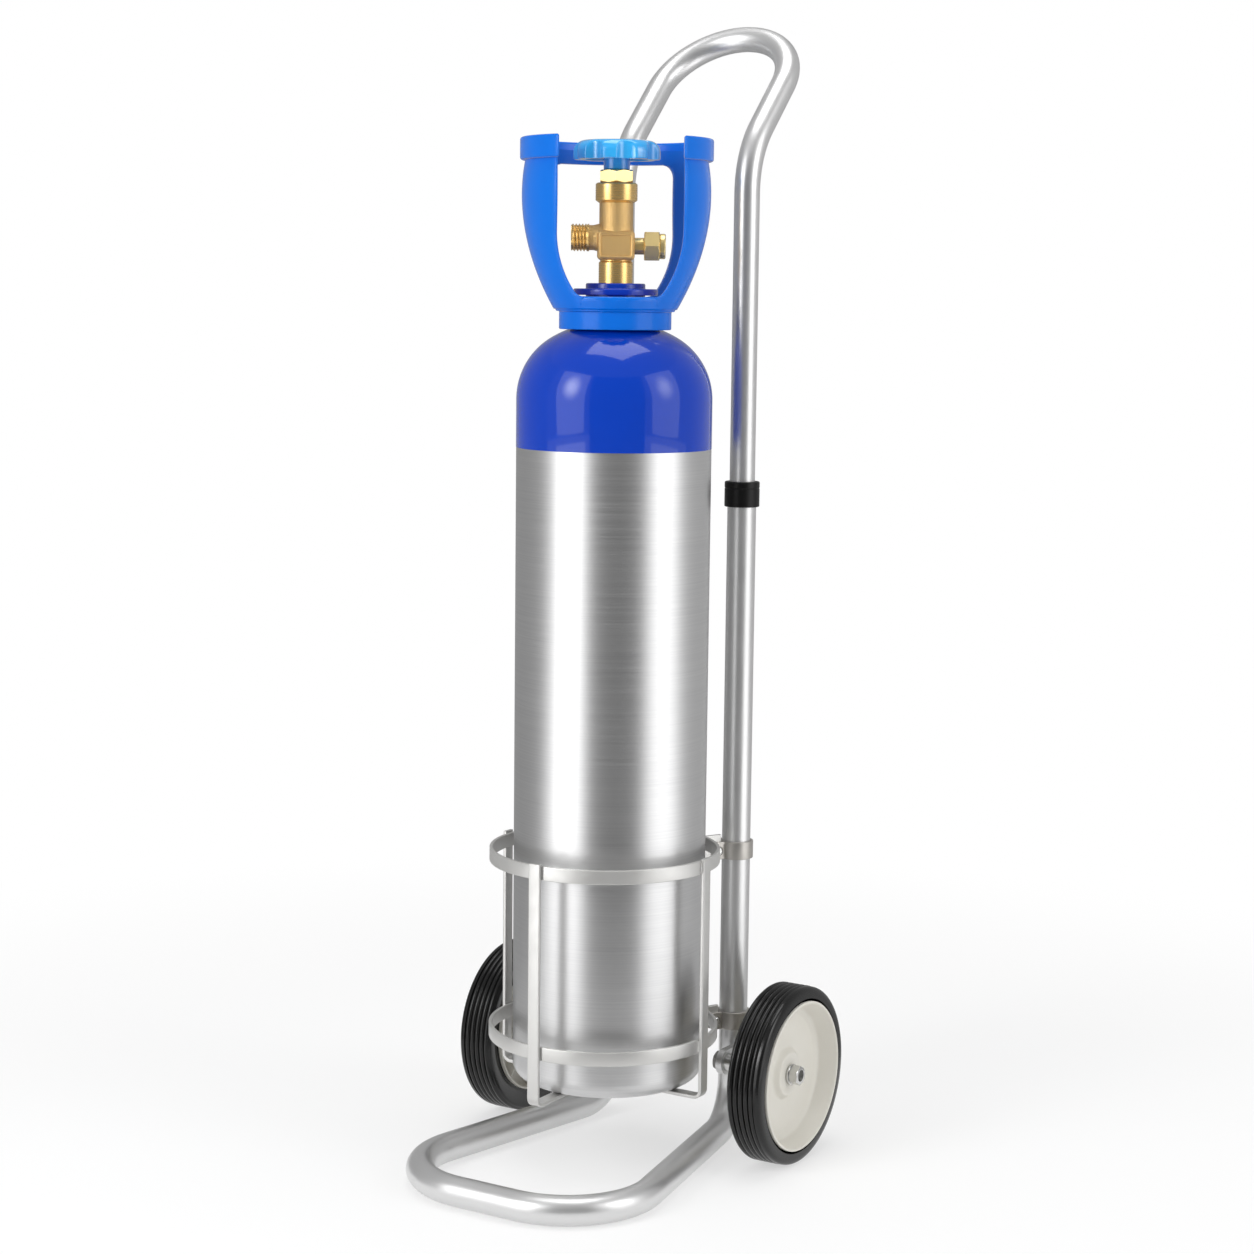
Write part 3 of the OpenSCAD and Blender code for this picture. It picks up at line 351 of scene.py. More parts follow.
# %% Metal finishes
FINISH = {}
FINISH["frame_tube"] = mottled(60, 0.33, 0.39, "satin_tube", (0.71, 0.71, 0.71), 0.36, 0.85)
FINISH["handle_tube"] = FINISH["frame_tube"]
FINISH["cage"] = mottled(90, 0.32, 0.44, "pale_bar_plating", (0.63, 0.625, 0.61), 0.36, 0.66)
FINISH["clip"] = mottled(120, 0.32, 0.46, "clip_steel", (0.50, 0.48, 0.45), 0.38, 0.8)
FINISH["zinc"] = mottled(150, 0.16, 0.26, "bright_zinc", (0.62, 0.62, 0.61), 0.2, 1.0)
FINISH["bush"] = mottled(200, 0.44, 0.56, "dark_bush", (0.10, 0.10, 0.10), 0.5)
FINISH["cylinder"] = finish("brushed_aluminium", (0.66, 0.66, 0.66), 0.4, 1.0,
                            anisotropic=0.45, turned=0.25)
vary_roughness(FINISH["cylinder"], "brush", along=1500, across=7, low=0.35, high=0.45)
vary_colour(FINISH["cylinder"], (0.63, 0.63, 0.635), (0.70, 0.70, 0.70), "brush", along=1100, across=9)
FINISH["brass"] = mottled(700, 0.36, 0.52, "cast_brass", (0.92, 0.60, 0.23), 0.40, 0.6)
add_bump(FINISH["brass"], 0.00025, 0.5, "mottle", scale=1600)
TURNED_BRASS = finish("turned_brass", (0.90, 0.60, 0.22), 0.26, 0.8)
vary_roughness(TURNED_BRASS, "brush", along=2200, across=30, low=0.22, high=0.34)
POLISHED_BRASS = finish("polished_brass", (1.0, 0.76, 0.32), 0.22, 0.65)
vary_roughness(POLISHED_BRASS, "brush", along=1800, across=60, low=0.18, high=0.26)
ROD_STEEL = mottled(150, 0.4, 0.52, "dull_rod_steel", (0.26, 0.26, 0.25), 0.45, 0.9)
print("metals:", ", ".join(FINISH))

# %% Plastic, rubber and paint finishes
FINISH["collar"] = mottled(120, 0.32, 0.42, "black_plastic", (0.004, 0.004, 0.004), 0.36, specular=0.25)
FINISH["tyre"] = mottled(80, 0.12, 0.2, "black_rubber", (0.006, 0.006, 0.006), 0.16, specular=0.4)
add_bump(FINISH["tyre"], 0.0002, 0.15, "mottle", scale=900)
FINISH["hub"] = mottled(60, 0.37, 0.47, "cream_plastic", (0.70, 0.68, 0.62), 0.42)
vary_colour(FINISH["hub"], (0.685, 0.665, 0.603), (0.715, 0.695, 0.637), "mottle", scale=25)
FINISH["deep_blue"] = mottled(70, 0.16, 0.24, "deep_blue_gloss", (0.0, 0.042, 0.44), 0.2, specular=0.1,
                              coat=0.65, coat_roughness=0.05)
FINISH["guard"] = mottled(50, 0.17, 0.22, "bright_blue_moulding", (0.0, 0.155, 0.70), 0.2, specular=0.3)
FINISH["handwheel"] = mottled(90, 0.1, 0.15, "sky_blue_moulding", (0.03, 0.42, 0.88), 0.12,
                              coat=0.7, coat_roughness=0.04)
FINISH["seal"] = mottled(150, 0.45, 0.6, "dark_seal", (0.02, 0.02, 0.02), 0.5)
FINISH["packing"] = mottled(150, 0.45, 0.6, "pale_packing", (0.8, 0.8, 0.78), 0.5)
print("finishes:", len(FINISH))

# %% [markdown]
# ## From shells to a piece
# A piece is one mesh at the origin, with its place in its points. Points that fall together at a seam or a
# pole are merged, faces are turned outwards, and edges sharper than a set angle stay crisp. The piece then
# rides on a body.

# %% Piece maker
MERGE_M, SLIVER_M = 2e-6, 1e-7


def make_piece(name, shells, slot, body, *nodes, material=None, sharp=38):
    """Joins shells into one mesh, merges doubles, turns normals outward and rides on a body."""
    starts = np.cumsum([0] + [len(points) for points, _ in shells])
    points = np.vstack([points for points, _ in shells]) * MM + AXIS
    faces = np.vstack([faces + start for (_, faces), start in zip(shells, starts)])
    mesh = bpy.data.meshes.new(name)
    mesh.from_pydata(points.tolist(), [], faces.tolist())
    work = bmesh.new()
    work.from_mesh(mesh)
    bmesh.ops.remove_doubles(work, verts=work.verts, dist=MERGE_M)
    bmesh.ops.dissolve_degenerate(work, edges=work.edges, dist=SLIVER_M)
    bmesh.ops.recalc_face_normals(work, faces=work.faces)
    work.to_mesh(mesh)
    work.free()
    mesh.shade_smooth()
    mesh.set_sharp_from_angle(angle=math.radians(sharp))
    mesh.materials.append(material or FINISH[slot])
    piece = bpy.data.objects.new(name, mesh)
    bpy.context.scene.collection.objects.link(piece)
    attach(piece, body)
    if nodes:
        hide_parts(*nodes)
    print(name, len(mesh.polygons), "faces on", body)
    return piece


def make_pair(name, shells, slot, body, node, **extra):
    """Right piece and its mirror image on the left; SIDE in a name stands for right or left."""
    for side, made in (("right", shells), ("left", other_side(shells))):
        named, rides, stands_for = [word.replace("SIDE", side) for word in (name, body, node)]
        make_piece(named, made, slot, rides, stands_for, **extra)


# %% [markdown]
# ## Frame tube
# One tube makes the floor loop, the two heels and the uprights. It could be a curve with a bevel, but a
# path of straight runs and exact arcs keeps the bend radii of the solids, and a circle carried along it
# gives clean rings. The up direction turns with the heel, so the rings never twist.

# %% Frame tube
TUBE_R, UPRIGHT_X, UPRIGHT_Y, UPRIGHT_TOP = 12.5, 63.0, 110.0, 580.0
FRONT_Y, FRONT_HALF, CORNER_R, HEEL_R = -182.0, 119.0, 74.0, 40.0
leg_turn = math.atan2(UPRIGHT_Y - FRONT_Y, UPRIGHT_X - FRONT_HALF)
corner_x = FRONT_HALF - CORNER_R * math.tan(leg_turn / 2)
a = np.linspace(-np.pi / 2, leg_turn - np.pi / 2, 30)
corner_y = FRONT_Y + CORNER_R
corner = np.stack([corner_x + CORNER_R * np.cos(a), corner_y + CORNER_R * np.sin(a), 0 * a + TUBE_R], 1)
leg = np.array([math.cos(leg_turn), math.sin(leg_turn), 0.0])
heel_start = np.array([UPRIGHT_X, UPRIGHT_Y, TUBE_R]) - HEEL_R * leg
a = np.linspace(0, np.pi / 2, 22)[:, None]
rise = np.array([0, 0, 1.0])
heel = heel_start + HEEL_R * (np.sin(a) * leg + (1 - np.cos(a)) * rise)
heel_up = -np.sin(a) * leg + np.cos(a) * rise
bar = np.linspace([0, FRONT_Y, TUBE_R], [corner_x, FRONT_Y, TUBE_R], 6)[:-1]
run = np.linspace(corner[-1], heel_start, 14)[1:-1]
upright = np.linspace(heel[-1], [UPRIGHT_X, UPRIGHT_Y, UPRIGHT_TOP], 30)[1:]
half_path = np.vstack([bar, corner, run, heel, upright])
level_count = len(bar) + len(corner) + len(run)
half_up = np.vstack([np.tile(rise, (level_count, 1)), heel_up, np.tile(-leg, (len(upright), 1))])


def across(half, flip):
    """The mirror image of half a path, walked backwards, followed by the half itself."""
    return np.vstack([(half * flip)[:0:-1], half])


mirror = np.array([-1.0, 1, 1])
frame_path, frame_up = across(half_path, mirror), across(half_up, mirror)
tube = sweep(frame_path, frame_up, ring_section(TUBE_R, 44))
make_piece("frame_tube_skin", [tube], "frame_tube", "frame", "lower_frame_tube")

# %% [markdown]
# ## Handle
# The handle is the thinner tube that slides in the uprights. Its legs lean back through a bend, and a half
# circle in the leaning plane makes the grip. The same sweep carries a smaller circle along that path.

# %% Handle tube
HANDLE_R, FOOT_Z, ARM = 11.0, 485.0, 53.0
BEND_Z, BEND_R, LEAN = 832.0, 82.0, math.radians(44)
a = np.linspace(0, LEAN, 18)
zero = np.zeros_like(a)
bend_y = UPRIGHT_Y + BEND_R * (1 - np.cos(a))
handle_bend = np.stack([zero + UPRIGHT_X, bend_y, BEND_Z + BEND_R * np.sin(a)], 1)
bend_up = np.stack([zero, -np.cos(a), np.sin(a)], 1)
back = np.array([0, math.sin(LEAN), math.cos(LEAN)])
loop_middle = handle_bend[-1] * (0, 1, 1) + ARM * back
a = np.linspace(0, np.pi / 2, 28)[:, None]
grip = loop_middle + UPRIGHT_X * (np.cos(a) * np.array([1.0, 0, 0]) + np.sin(a) * back)
leg_run = np.linspace([UPRIGHT_X, UPRIGHT_Y, FOOT_Z], handle_bend[0], 24)[:-1]
arm_run = np.linspace(handle_bend[-1], grip[0], 6)[1:-1]
half_path = np.vstack([leg_run, handle_bend, arm_run, grip])[::-1]
half_up = np.vstack([np.tile(bend_up[0], (len(leg_run), 1)), bend_up,
                     np.tile(bend_up[-1], (len(arm_run) + len(grip), 1))])[::-1]
tube = sweep(across(half_path, mirror), across(half_up, mirror), ring_section(HANDLE_R))
make_piece("handle_tube_skin", [tube], "handle_tube", "handle", "handle_tube")

# %% [markdown]
# ## Collars
# A black plastic collar caps each upright and guides the handle leg. It is turned from a profile with soft
# edges and a small step near its top, where the moulding is split from its snap ring.

# %% Collars
FIT = 0.05
COLLAR_R, LEG_HOLE, GROOVE_R = 15.25, 11.3, 14.8
COLLAR_FOOT, COLLAR_SHELF, COLLAR_TOP = 563.0, 580.5, 585.0
collar_profile = rounded([
    (TUBE_R + FIT, COLLAR_FOOT, 0.3), (COLLAR_R, COLLAR_FOOT, 0.9), (COLLAR_R, 578.6, 0.3),
    (GROOVE_R, 579.2, 0.2), (COLLAR_R, 579.8, 0.3), (COLLAR_R, COLLAR_TOP, 1.2), (LEG_HOLE, COLLAR_TOP, 0.6),
    (LEG_HOLE, COLLAR_SHELF, 0.2), (TUBE_R + FIT, COLLAR_SHELF, 0.2)], 4)
collar = bent([lathe(collar_profile, 64)], at=(UPRIGHT_X, UPRIGHT_Y, 0))
make_pair("collar_skin_SIDE", collar, "collar", "frame", "collar_SIDE")

# %% [markdown]
# ## Cage
# Two hoops of flat bar and four straps hold the cylinder. Flat bar has small rolled edges that catch the
# light, so a rounded rectangle is swept round each hoop, leaving the slit beside the front strap, and down
# each strap. Small weld beads close the corners where a strap crosses a hoop, except at the slit, which
# stays open.

# %% Hoops
HOOP_MID, BAR_T, BAR_W, CAGE_Y = 97.5, 3.0, 12.0, -7.5
STRAP_W, STRAP_SHIFT, CLIP_H, CLIP_DROP = 11.0, 4.7, 15.5, 9.0
HOOPS = {"upper_hoop": 269.0, "lower_hoop": 115.0}
LUG_REACH, LUG_TOP = 117.0, 5.0
CLIP_TURN = math.degrees(math.atan2(UPRIGHT_Y - CAGE_Y, UPRIGHT_X))
SLIT_ENDS = np.array([1.9, 0.1])
slit = np.arcsin((SLIT_ENDS + STRAP_W / 2 - STRAP_SHIFT) / HOOP_MID) - np.pi / 2
a = np.linspace(slit[0], slit[1] + 2 * np.pi, 150)
hoop_path = polar(HOOP_MID, a, 0.0)
half_t = BAR_T / 2
lug_plan = rounded([(HOOP_MID, -half_t, 0.3), (LUG_REACH, -half_t, 0.7),
                    (LUG_REACH, half_t, 0.7), (HOOP_MID, half_t, 0.3)])
lug = slab(lug_plan, -CLIP_DROP - BAR_W / 2, LUG_TOP, 0.6)
for node, z in HOOPS.items():
    ring = [sweep(hoop_path, rise, bar_section(BAR_T, BAR_W, 0.7))] + both_sides(bent([lug], CLIP_TURN))
    make_piece(node + "_bar", bent(ring, at=(0, CAGE_Y, z)), "cage", "frame", node)

# %% Straps and weld beads
STRAP_MID, STRAP_TOP, FOOT_MID, STRAP_BEND = 100.6, 276.5, 70.0, 6.5
BEAD_R, BEAD_HALF, BEAD_RIPPLE, BEAD_X, BEAD_Y = 1.3, 5.2, 0.12, 98.9, 5.6
a = np.linspace(0, np.pi / 2, 10)
turn_x = STRAP_MID - STRAP_BEND + STRAP_BEND * np.cos(a)
turn_z = FOOT_MID + STRAP_BEND - STRAP_BEND * np.sin(a)


def strap(inner):
    """Strap along +X: down the outside, round a quarter circle, and inward to a distance from the middle."""
    x = np.concatenate([np.full(8, STRAP_MID), turn_x[1:], np.linspace(turn_x[-1], inner, 6)[1:]])
    z = np.concatenate([np.linspace(STRAP_TOP, turn_z[0], 8), turn_z[1:], np.full(5, FOOT_MID)])
    path = np.stack([x, 0 * x, z], 1)
    d = np.gradient(path, axis=0)
    out = np.stack([-d[:, 2], 0 * x, d[:, 0]], 1)
    return sweep(path, out, bar_section(STRAP_W, BAR_T, 0.7))


t = np.linspace(0, np.pi, 11)
bead_r = BEAD_R * np.sin(t) * (1 + BEAD_RIPPLE * np.cos(9 * t))
bead = lathe(np.stack([bead_r, BEAD_HALF * np.cos(t)], 1), 14, False)
beads = [bent([bead], at=(BEAD_X, y, z))[0] for z in HOOPS.values() for y in (-BEAD_Y, BEAD_Y)]
front_rear = bent([strap(0)] + beads, 90) + bent([strap(0)] + beads[::2], -90)
make_piece("strap_front_rear_bar", bent(front_rear, at=(-STRAP_SHIFT, CAGE_Y, 0)), "cage", "frame",
           "strap_front_rear")
right_strap = bent([strap(STRAP_W / 2 - STRAP_SHIFT)] + beads, at=(0, CAGE_Y, 0))
left_strap = other_side(bent([strap(STRAP_W / 2 + STRAP_SHIFT)] + beads, at=(0, CAGE_Y, 0)))
make_piece("strap_right_bar", right_strap, "cage", "frame", "strap_right")
make_piece("strap_left_bar", left_strap, "cage", "frame", "strap_left")

# %% [markdown]
# ## Pipe clips
# A clip wraps each upright and pinches a hoop's lug between two ears with a round-headed bolt and a nut.
# The band is turned and the ears are slabs with rounded ends, which is how such a clip is stamped and
# folded.

# %% Clips, bolts and nuts
CLIP_R, EAR_END, EAR_ROOT, EAR_OFF, EAR_T = 15.05, 25.5, 12.8, 2.8, 2.5
BOLT_REACH, BOLT_R, HEAD_R, SEAT_OFF = 21.0, 2.5, 4.5, 4.05
tall = CLIP_H / 2
band = lathe(rounded([(TUBE_R + FIT, -tall, 0.3), (CLIP_R, -tall, 0.6),
                      (CLIP_R, tall, 0.6), (TUBE_R + FIT, tall, 0.3)], 4), 56)
ear_plan = rounded([(-EAR_END, -tall, 3.0), (-EAR_ROOT, -tall, 0.4),
                    (-EAR_ROOT, tall, 0.4), (-EAR_END, tall, 3.0)])
ear = bent([slab(ear_plan, -EAR_T / 2, EAR_T / 2, 0.5)], 90, axis="X")
t = np.linspace(0, np.pi / 2, 9)
dome = np.stack([HEAD_R * np.cos(t) ** 0.8, 0.6 + 2.4 * np.sin(t)], 1)
head = lathe(np.concatenate([[[0, 0], [HEAD_R, 0]], dome]), 40, False)
shank = lathe(rounded([(0, -8.2, 0), (BOLT_R, -8.2, 0.5), (BOLT_R, 0.5, 0), (0, 0.5, 0)], 3), 24)


def at_clip(shells, z):
    """Moves shells made about an upright to a clip's height and turns them towards the hoop's middle."""
    return bent(bent(shells, CLIP_TURN), at=(UPRIGHT_X, UPRIGHT_Y, z - CLIP_DROP))


for node, z in HOOPS.items():
    shells = at_clip([band] + bent(ear, at=(0, EAR_OFF, 0)) + bent(ear, at=(0, -EAR_OFF, 0)), z)
    clip = "clip_" + node.split("_")[0]
    make_pair(clip + "_SIDE_band", shells, "clip", "frame", clip + "_SIDE")
bolt = bent(bent([head, shank], 90, axis="X"), at=(-BOLT_REACH, -SEAT_OFF, 0))
nut = bent(bent([hexagon(8, 4, BOLT_R, 0.6, 60)], -90, axis="X"), at=(-BOLT_REACH, SEAT_OFF, 0))
bolts = [shell for z in HOOPS.values() for shell in at_clip(bolt, z)]
nuts = [shell for z in HOOPS.values() for shell in at_clip(nut, z)]
make_piece("clip_bolt_heads", both_sides(bolts), "zinc", "frame", "clip_bolts")
make_piece("clip_nut_hexes", both_sides(nuts), "zinc", "frame", "clip_nuts")

# %% [markdown]
# ## Wheels
# A wheel is a cream hub with a deep dish, a ribbed back and a soft raised boss, and a black tyre with five
# rounded rings. Both are turned profiles about the axle. The rings of the tread are half waves, as a mould
# would cut them.

# %% Tyres
WHEEL_X, AXLE_Y, WHEEL_R, HALF_W = 138.0, 71.0, 77.5, 16.5
SEAT_R, LIP_R, BACK_R = 63.5, 65.0, 57.8
RINGS, GROOVE, TREAD_LOW, TREAD_W = 5, 2.3, -15.2, 25.2
FULLNESS = 0.6


def on_axle(shells):
    """Lays shells made about Z, with their outer side up, on the right axle: (x, y, z) becomes (z, y, -x)."""
    return bent(bent(shells, 90, axis="Y"), at=(WHEEL_X, AXLE_Y, WHEEL_R))


wave = np.linspace(0, RINGS, RINGS * 12 + 1)
ring_out = np.abs(np.sin(np.pi * wave)) ** 0.55
tread = np.stack([WHEEL_R - GROOVE * (1 - ring_out), TREAD_LOW + TREAD_W * wave / RINGS], 1)
t = np.linspace(0, np.pi / 2, 10)
inner_edge = np.stack([WHEEL_R - 5 + 2.6 * np.sin(t), -HALF_W + 1.2 * (1 - np.cos(t))], 1)
outer_r = WHEEL_R - 10.3 + 10.0 * np.cos(t) ** FULLNESS
outer_edge = np.stack([outer_r, 10.4 + 6.0 * np.sin(t) ** FULLNESS], 1)
bead_seat = rounded([
    (LIP_R + 0.4, HALF_W - 0.1, 0.4), (LIP_R + FIT, HALF_W - 1.2, 0.2), (LIP_R + FIT, 13.4, 0.2),
    (SEAT_R + FIT, 13.4, 0.2), (SEAT_R + FIT, -13.5, 0.2), (BACK_R + FIT, -13.5, 0.2),
    (BACK_R + FIT, -HALF_W, 0.4)], 3)
tyre = on_axle([lathe(np.concatenate([inner_edge, tread, outer_edge, bead_seat]), 144)])
make_pair("tyre_SIDE_rubber", tyre, "tyre", "wheel_SIDE", "tyre_SIDE", sharp=50)

# %% Hubs
BUSH_HOLE, SLEEVE_R, SLEEVE_END, BOSS_TOP, RIM_IN, RIM_BACK = 8.1, 14.1, -21.0, 4.7, 56.0, -16.9
DISH_FRONT, DISH_BACK, LIP_FRONT = -0.3, -4.3, 17.7
RIBS, RIB_T, RIB_LONG, RIB_MID = 8, 2.4, 46.0, 34.0
hub_profile = rounded([
    (BUSH_HOLE, SLEEVE_END, 0.5), (SLEEVE_R, SLEEVE_END, 1.0), (SLEEVE_R, DISH_BACK, 1.5),
    (RIM_IN, DISH_BACK, 2.0), (RIM_IN, RIM_BACK, 0.5), (BACK_R, RIM_BACK, 0.5), (BACK_R, -13.45, 0.1),
    (SEAT_R, -13.45, 0.1), (SEAT_R, 13.5, 0.1), (LIP_R, 13.5, 0.1), (LIP_R, LIP_FRONT, 0.8),
    (62.9, LIP_FRONT, 0.8), (57.8, 1.2, 3.0), (52.0, DISH_FRONT, 3.0), (22.4, DISH_FRONT, 3.0),
    (18.8, BOSS_TOP, 2.4), (BUSH_HOLE, BOSS_TOP, 0.5)], 6)
rib_plan = bar_section(RIB_LONG, RIB_T, 0.3, 5) + (RIB_MID, 0)
ribs = [bent([slab(rib_plan, -15.4, -2.3, 0.5)], 360 / RIBS * i)[0] for i in range(RIBS)]
hub = on_axle([lathe(hub_profile, 128)] + ribs)
make_pair("hub_SIDE_dish", hub, "hub", "wheel_SIDE", "wheel_hub_SIDE")

# %% [markdown]
# ## Axle ends
# A washer and a zinc nut close each axle, with the bolt's end a little below the nut's face, so a dark
# round recess shows in its middle. The nut is a hexagon whose corners are cut by a cone, which gives the
# curved chamfers.

# %% Axle nuts, washers and bolts
AXLE_R, NUT_FLATS, NUT_AT, WASHER_AT, WASHER_R, WASHER_T = 5.0, 15.0, 7.0, 5.0, 9.0, 2.0
HEAD_AT, ROD_FROM, ROD_TO = -69.0, -64.0, 12.6
hole = AXLE_R + FIT
nut = bent([hexagon(NUT_FLATS, 8, hole, 1.4)], at=(0, 0, NUT_AT))
washer = lathe(rounded([(hole, 0, 0.2), (WASHER_R, 0, 0.4),
                        (WASHER_R, WASHER_T, 0.5), (hole, WASHER_T, 0.3)], 3), 64)
washer = bent([washer], at=(0, 0, WASHER_AT))
make_piece("axle_nut_hexes", both_sides(on_axle(nut)), "zinc", "frame", "axle_nuts")
make_piece("axle_washer_rings", both_sides(on_axle(washer)), "zinc", "frame", "axle_washers")
rod = lathe(rounded([(0, ROD_FROM, 0), (AXLE_R, ROD_FROM, 0.1),
                     (AXLE_R, ROD_TO, 0.8), (0, ROD_TO, 0)], 4), 40)
axle = on_axle([rod] + bent([hexagon(NUT_FLATS, 5, 0.0, 1.2)], at=(0, 0, HEAD_AT)))
make_pair("axle_bolt_SIDE_rod", axle, "zinc", "frame", "axle_bolt_SIDE", material=ROD_STEEL)

# %% [markdown]
# ## Gas cylinder
# The bare body is turned and brushed, so its grain runs round it and pulls every reflection into upright
# bands. The shoulder is painted deep blue down to a crisp edge. The paint is a second, slightly larger
# skin, which gives the edge a real thickness.

# %% Body and painted shoulder
CYL_R, CYL_Z, PAINT_Z, SHOULDER_Z = 82.5, 71.5, 616.5, 657.0
KNUCKLE, KNUCKLE_ARC, CROWN_R, FOOT_ROUND, PAINT_T = 60.0, 60.0, 105.0, 14.0, 0.15
CONE_R, NECK_R, NECK_FOOT, NECK_TOP = 35.0, 25.0, 722.02, 744.02
RING_R, RING_LOW, RING_HIGH = 41.8, 722.0, 734.0
crown_z = SHOULDER_Z - (CROWN_R - KNUCKLE) * math.sin(math.radians(KNUCKLE_ARC))
body_top = PAINT_Z + 2
t = np.linspace(-np.pi / 2, 0, 14)
foot = FOOT_ROUND * np.stack([np.cos(t), np.sin(t)], 1) + (CYL_R - FOOT_ROUND, CYL_Z + FOOT_ROUND)
wall = np.stack([np.full(60, CYL_R), np.linspace(CYL_Z + FOOT_ROUND + 1, body_top, 60)], 1)
body = lathe(np.concatenate([[[0, CYL_Z]], foot, wall, [[0, body_top]]]), 160, False)
make_piece("cylinder_bare_body", [body], "cylinder", "cylinder", "cylinder_shell")
t = np.radians(np.linspace(0, KNUCKLE_ARC, 26))
knuckle = (KNUCKLE + PAINT_T) * np.stack([np.cos(t), np.sin(t)], 1) + (CYL_R - KNUCKLE, SHOULDER_Z)
t = np.linspace(math.radians(KNUCKLE_ARC + 1), math.acos(CONE_R / CROWN_R), 10)
crown = (CROWN_R + PAINT_T) * np.stack([np.cos(t), np.sin(t)], 1) + (0, crown_z)
neck = [[CONE_R, 721.6], [34.6, NECK_FOOT], [NECK_R, NECK_FOOT], [NECK_R, NECK_TOP], [0, NECK_TOP]]
edge = [[0, PAINT_Z], [CYL_R - 0.1, PAINT_Z],
        [CYL_R + 0.1, PAINT_Z + 0.05], [CYL_R + PAINT_T, PAINT_Z + 0.2]]
paint = lathe(np.concatenate([edge, knuckle, crown, neck]), 160, False)
make_piece("painted_shoulder", [paint], "deep_blue", "cylinder")
ring = lathe(rounded([(NECK_R + FIT, RING_LOW, 0.3), (RING_R, RING_LOW, 0.8),
                      (RING_R, RING_HIGH, 0.8), (NECK_R + FIT, RING_HIGH, 0.3)], 3))
make_piece("neck_ring_turned", [ring], "deep_blue", "cylinder", "neck_ring")

# %% [markdown]
# ## Valve guard
# The guard is one moulding: a collar that clips on the neck ring, a bowl, two posts and an open top band. A
# boolean cut would leave sharp window edges. Instead each post is a rounded section that climbs from the
# bowl to the band while its width follows the windows' curved sides, so every edge has the soft radius of
# the moulding. Reflections leave the guard out, so the brass and the handle stay free of a blue cast, as in
# the photograph.

# %% Guard
GUARD_TURN, GUARD_WALL, SILL_Z, GUARD_TOP, BAND_H = 36.0, 7.0, 743.0, 873.5, 18.5
BAND_R, BAND_T, LEDGE_LOW, LEDGE_HIGH = 76.4, 8.6, 855.2, 866.5
WINDOW_HALF, WINDOW_FOOT, WINDOW_RISE, SIDE_R = 51.0, 9.0, 54.0, 91.0
BOWL_LOW, BOWL_FLOOR, RIM_RISE, SKIRT_R, SKIRT_LOW = 732.6, 739.5, 3.0, 47.2, 715.6
BARREL_MID = 790.0
barrel_z = np.array([BOWL_LOW, 739, 762, 785, 808, 831, 855, 862])
barrel_r = np.array([51.6, 56, 65.8, 73.6, 78.0, 78.9, 76.4, 75.0])
curve = np.polyfit(barrel_z - BARREL_MID, barrel_r, 4)


def guard_radius(z):
    """Outside radius of the guard at a height: a fourth-order curve through its barrel shape."""
    return np.polyval(curve, z - BARREL_MID)


def window_half(z):
    """Half width of a window at a height: a foot corner of 9 mm, a side arc of 91 mm, then upright."""
    arc_x, arc_z, foot_z = WINDOW_HALF - SIDE_R, SILL_Z + WINDOW_RISE, SILL_Z + WINDOW_FOOT
    between = SIDE_R - WINDOW_FOOT
    lean = math.asin((foot_z - arc_z) / between)
    foot_x = arc_x + between * math.cos(lean)
    foot_half = foot_x + np.sqrt(np.clip(WINDOW_FOOT ** 2 - (foot_z - z) ** 2, 0, None))
    side_half = arc_x + np.sqrt(np.clip(SIDE_R ** 2 - np.clip(arc_z - z, 0, None) ** 2, 0, None))
    switch = arc_z + SIDE_R * math.sin(lean)
    return np.where(z < switch, foot_half, side_half)


def post(rounding=2.6, head_r=12.0, proud=0.02):
    """Right post: at each height a rounded strip between two windows whose sides are cut straight through.

    A side lies at half the window's width w, so at radius r its angle from the post's middle is arccos(w / r).
    The rear edge widens in a quarter circle under the band, which gives the rear window its round head.
    The strip's two ends close on its middle line, and its foot stands a hair proud of the bowl.
    """
    z = np.concatenate([np.linspace(736, SILL_Z, 5)[:-1], SILL_Z + 12 * np.linspace(0, 1, 15) ** 2,
                        np.linspace(SILL_Z + 13.5, 842, 34), np.linspace(843, 866, 20)])
    middle = guard_radius(z) - GUARD_WALL / 2
    side = window_half(np.maximum(z, SILL_Z)) + rounding
    into_head = np.clip(z - (GUARD_TOP - BAND_H - head_r), 0, head_r)
    flare = head_r - np.sqrt(head_r ** 2 - into_head ** 2)
    run = np.linspace(-1, 1, 24)
    q = np.linspace(0, np.pi, 9)
    along = np.concatenate([run, np.ones(9), -run, -np.ones(9)])
    round_s = np.concatenate([0 * run, np.sin(q), 0 * run, -np.sin(q)])
    round_d = np.concatenate([0 * run - 1, -np.cos(q), 0 * run + 1, np.cos(q)])
    s = np.outer(flare, along > 0) * along + round_s * rounding
    d = np.sign(round_d) * (GUARD_WALL / 2 - rounding) + round_d * rounding
    d = d + proud * (z < SILL_Z)[:, None]

    def bent_strip(r):
        """Points at a radius r: the angle is along * arccos(w / r) plus the arc length s / r."""
        return polar(r, along * np.arccos(side[:, None] / r) + s / r, z[:, None])

    return capped(bent_strip(middle[:, None] + d), bent_strip(middle[:, None])[[0, -1]])


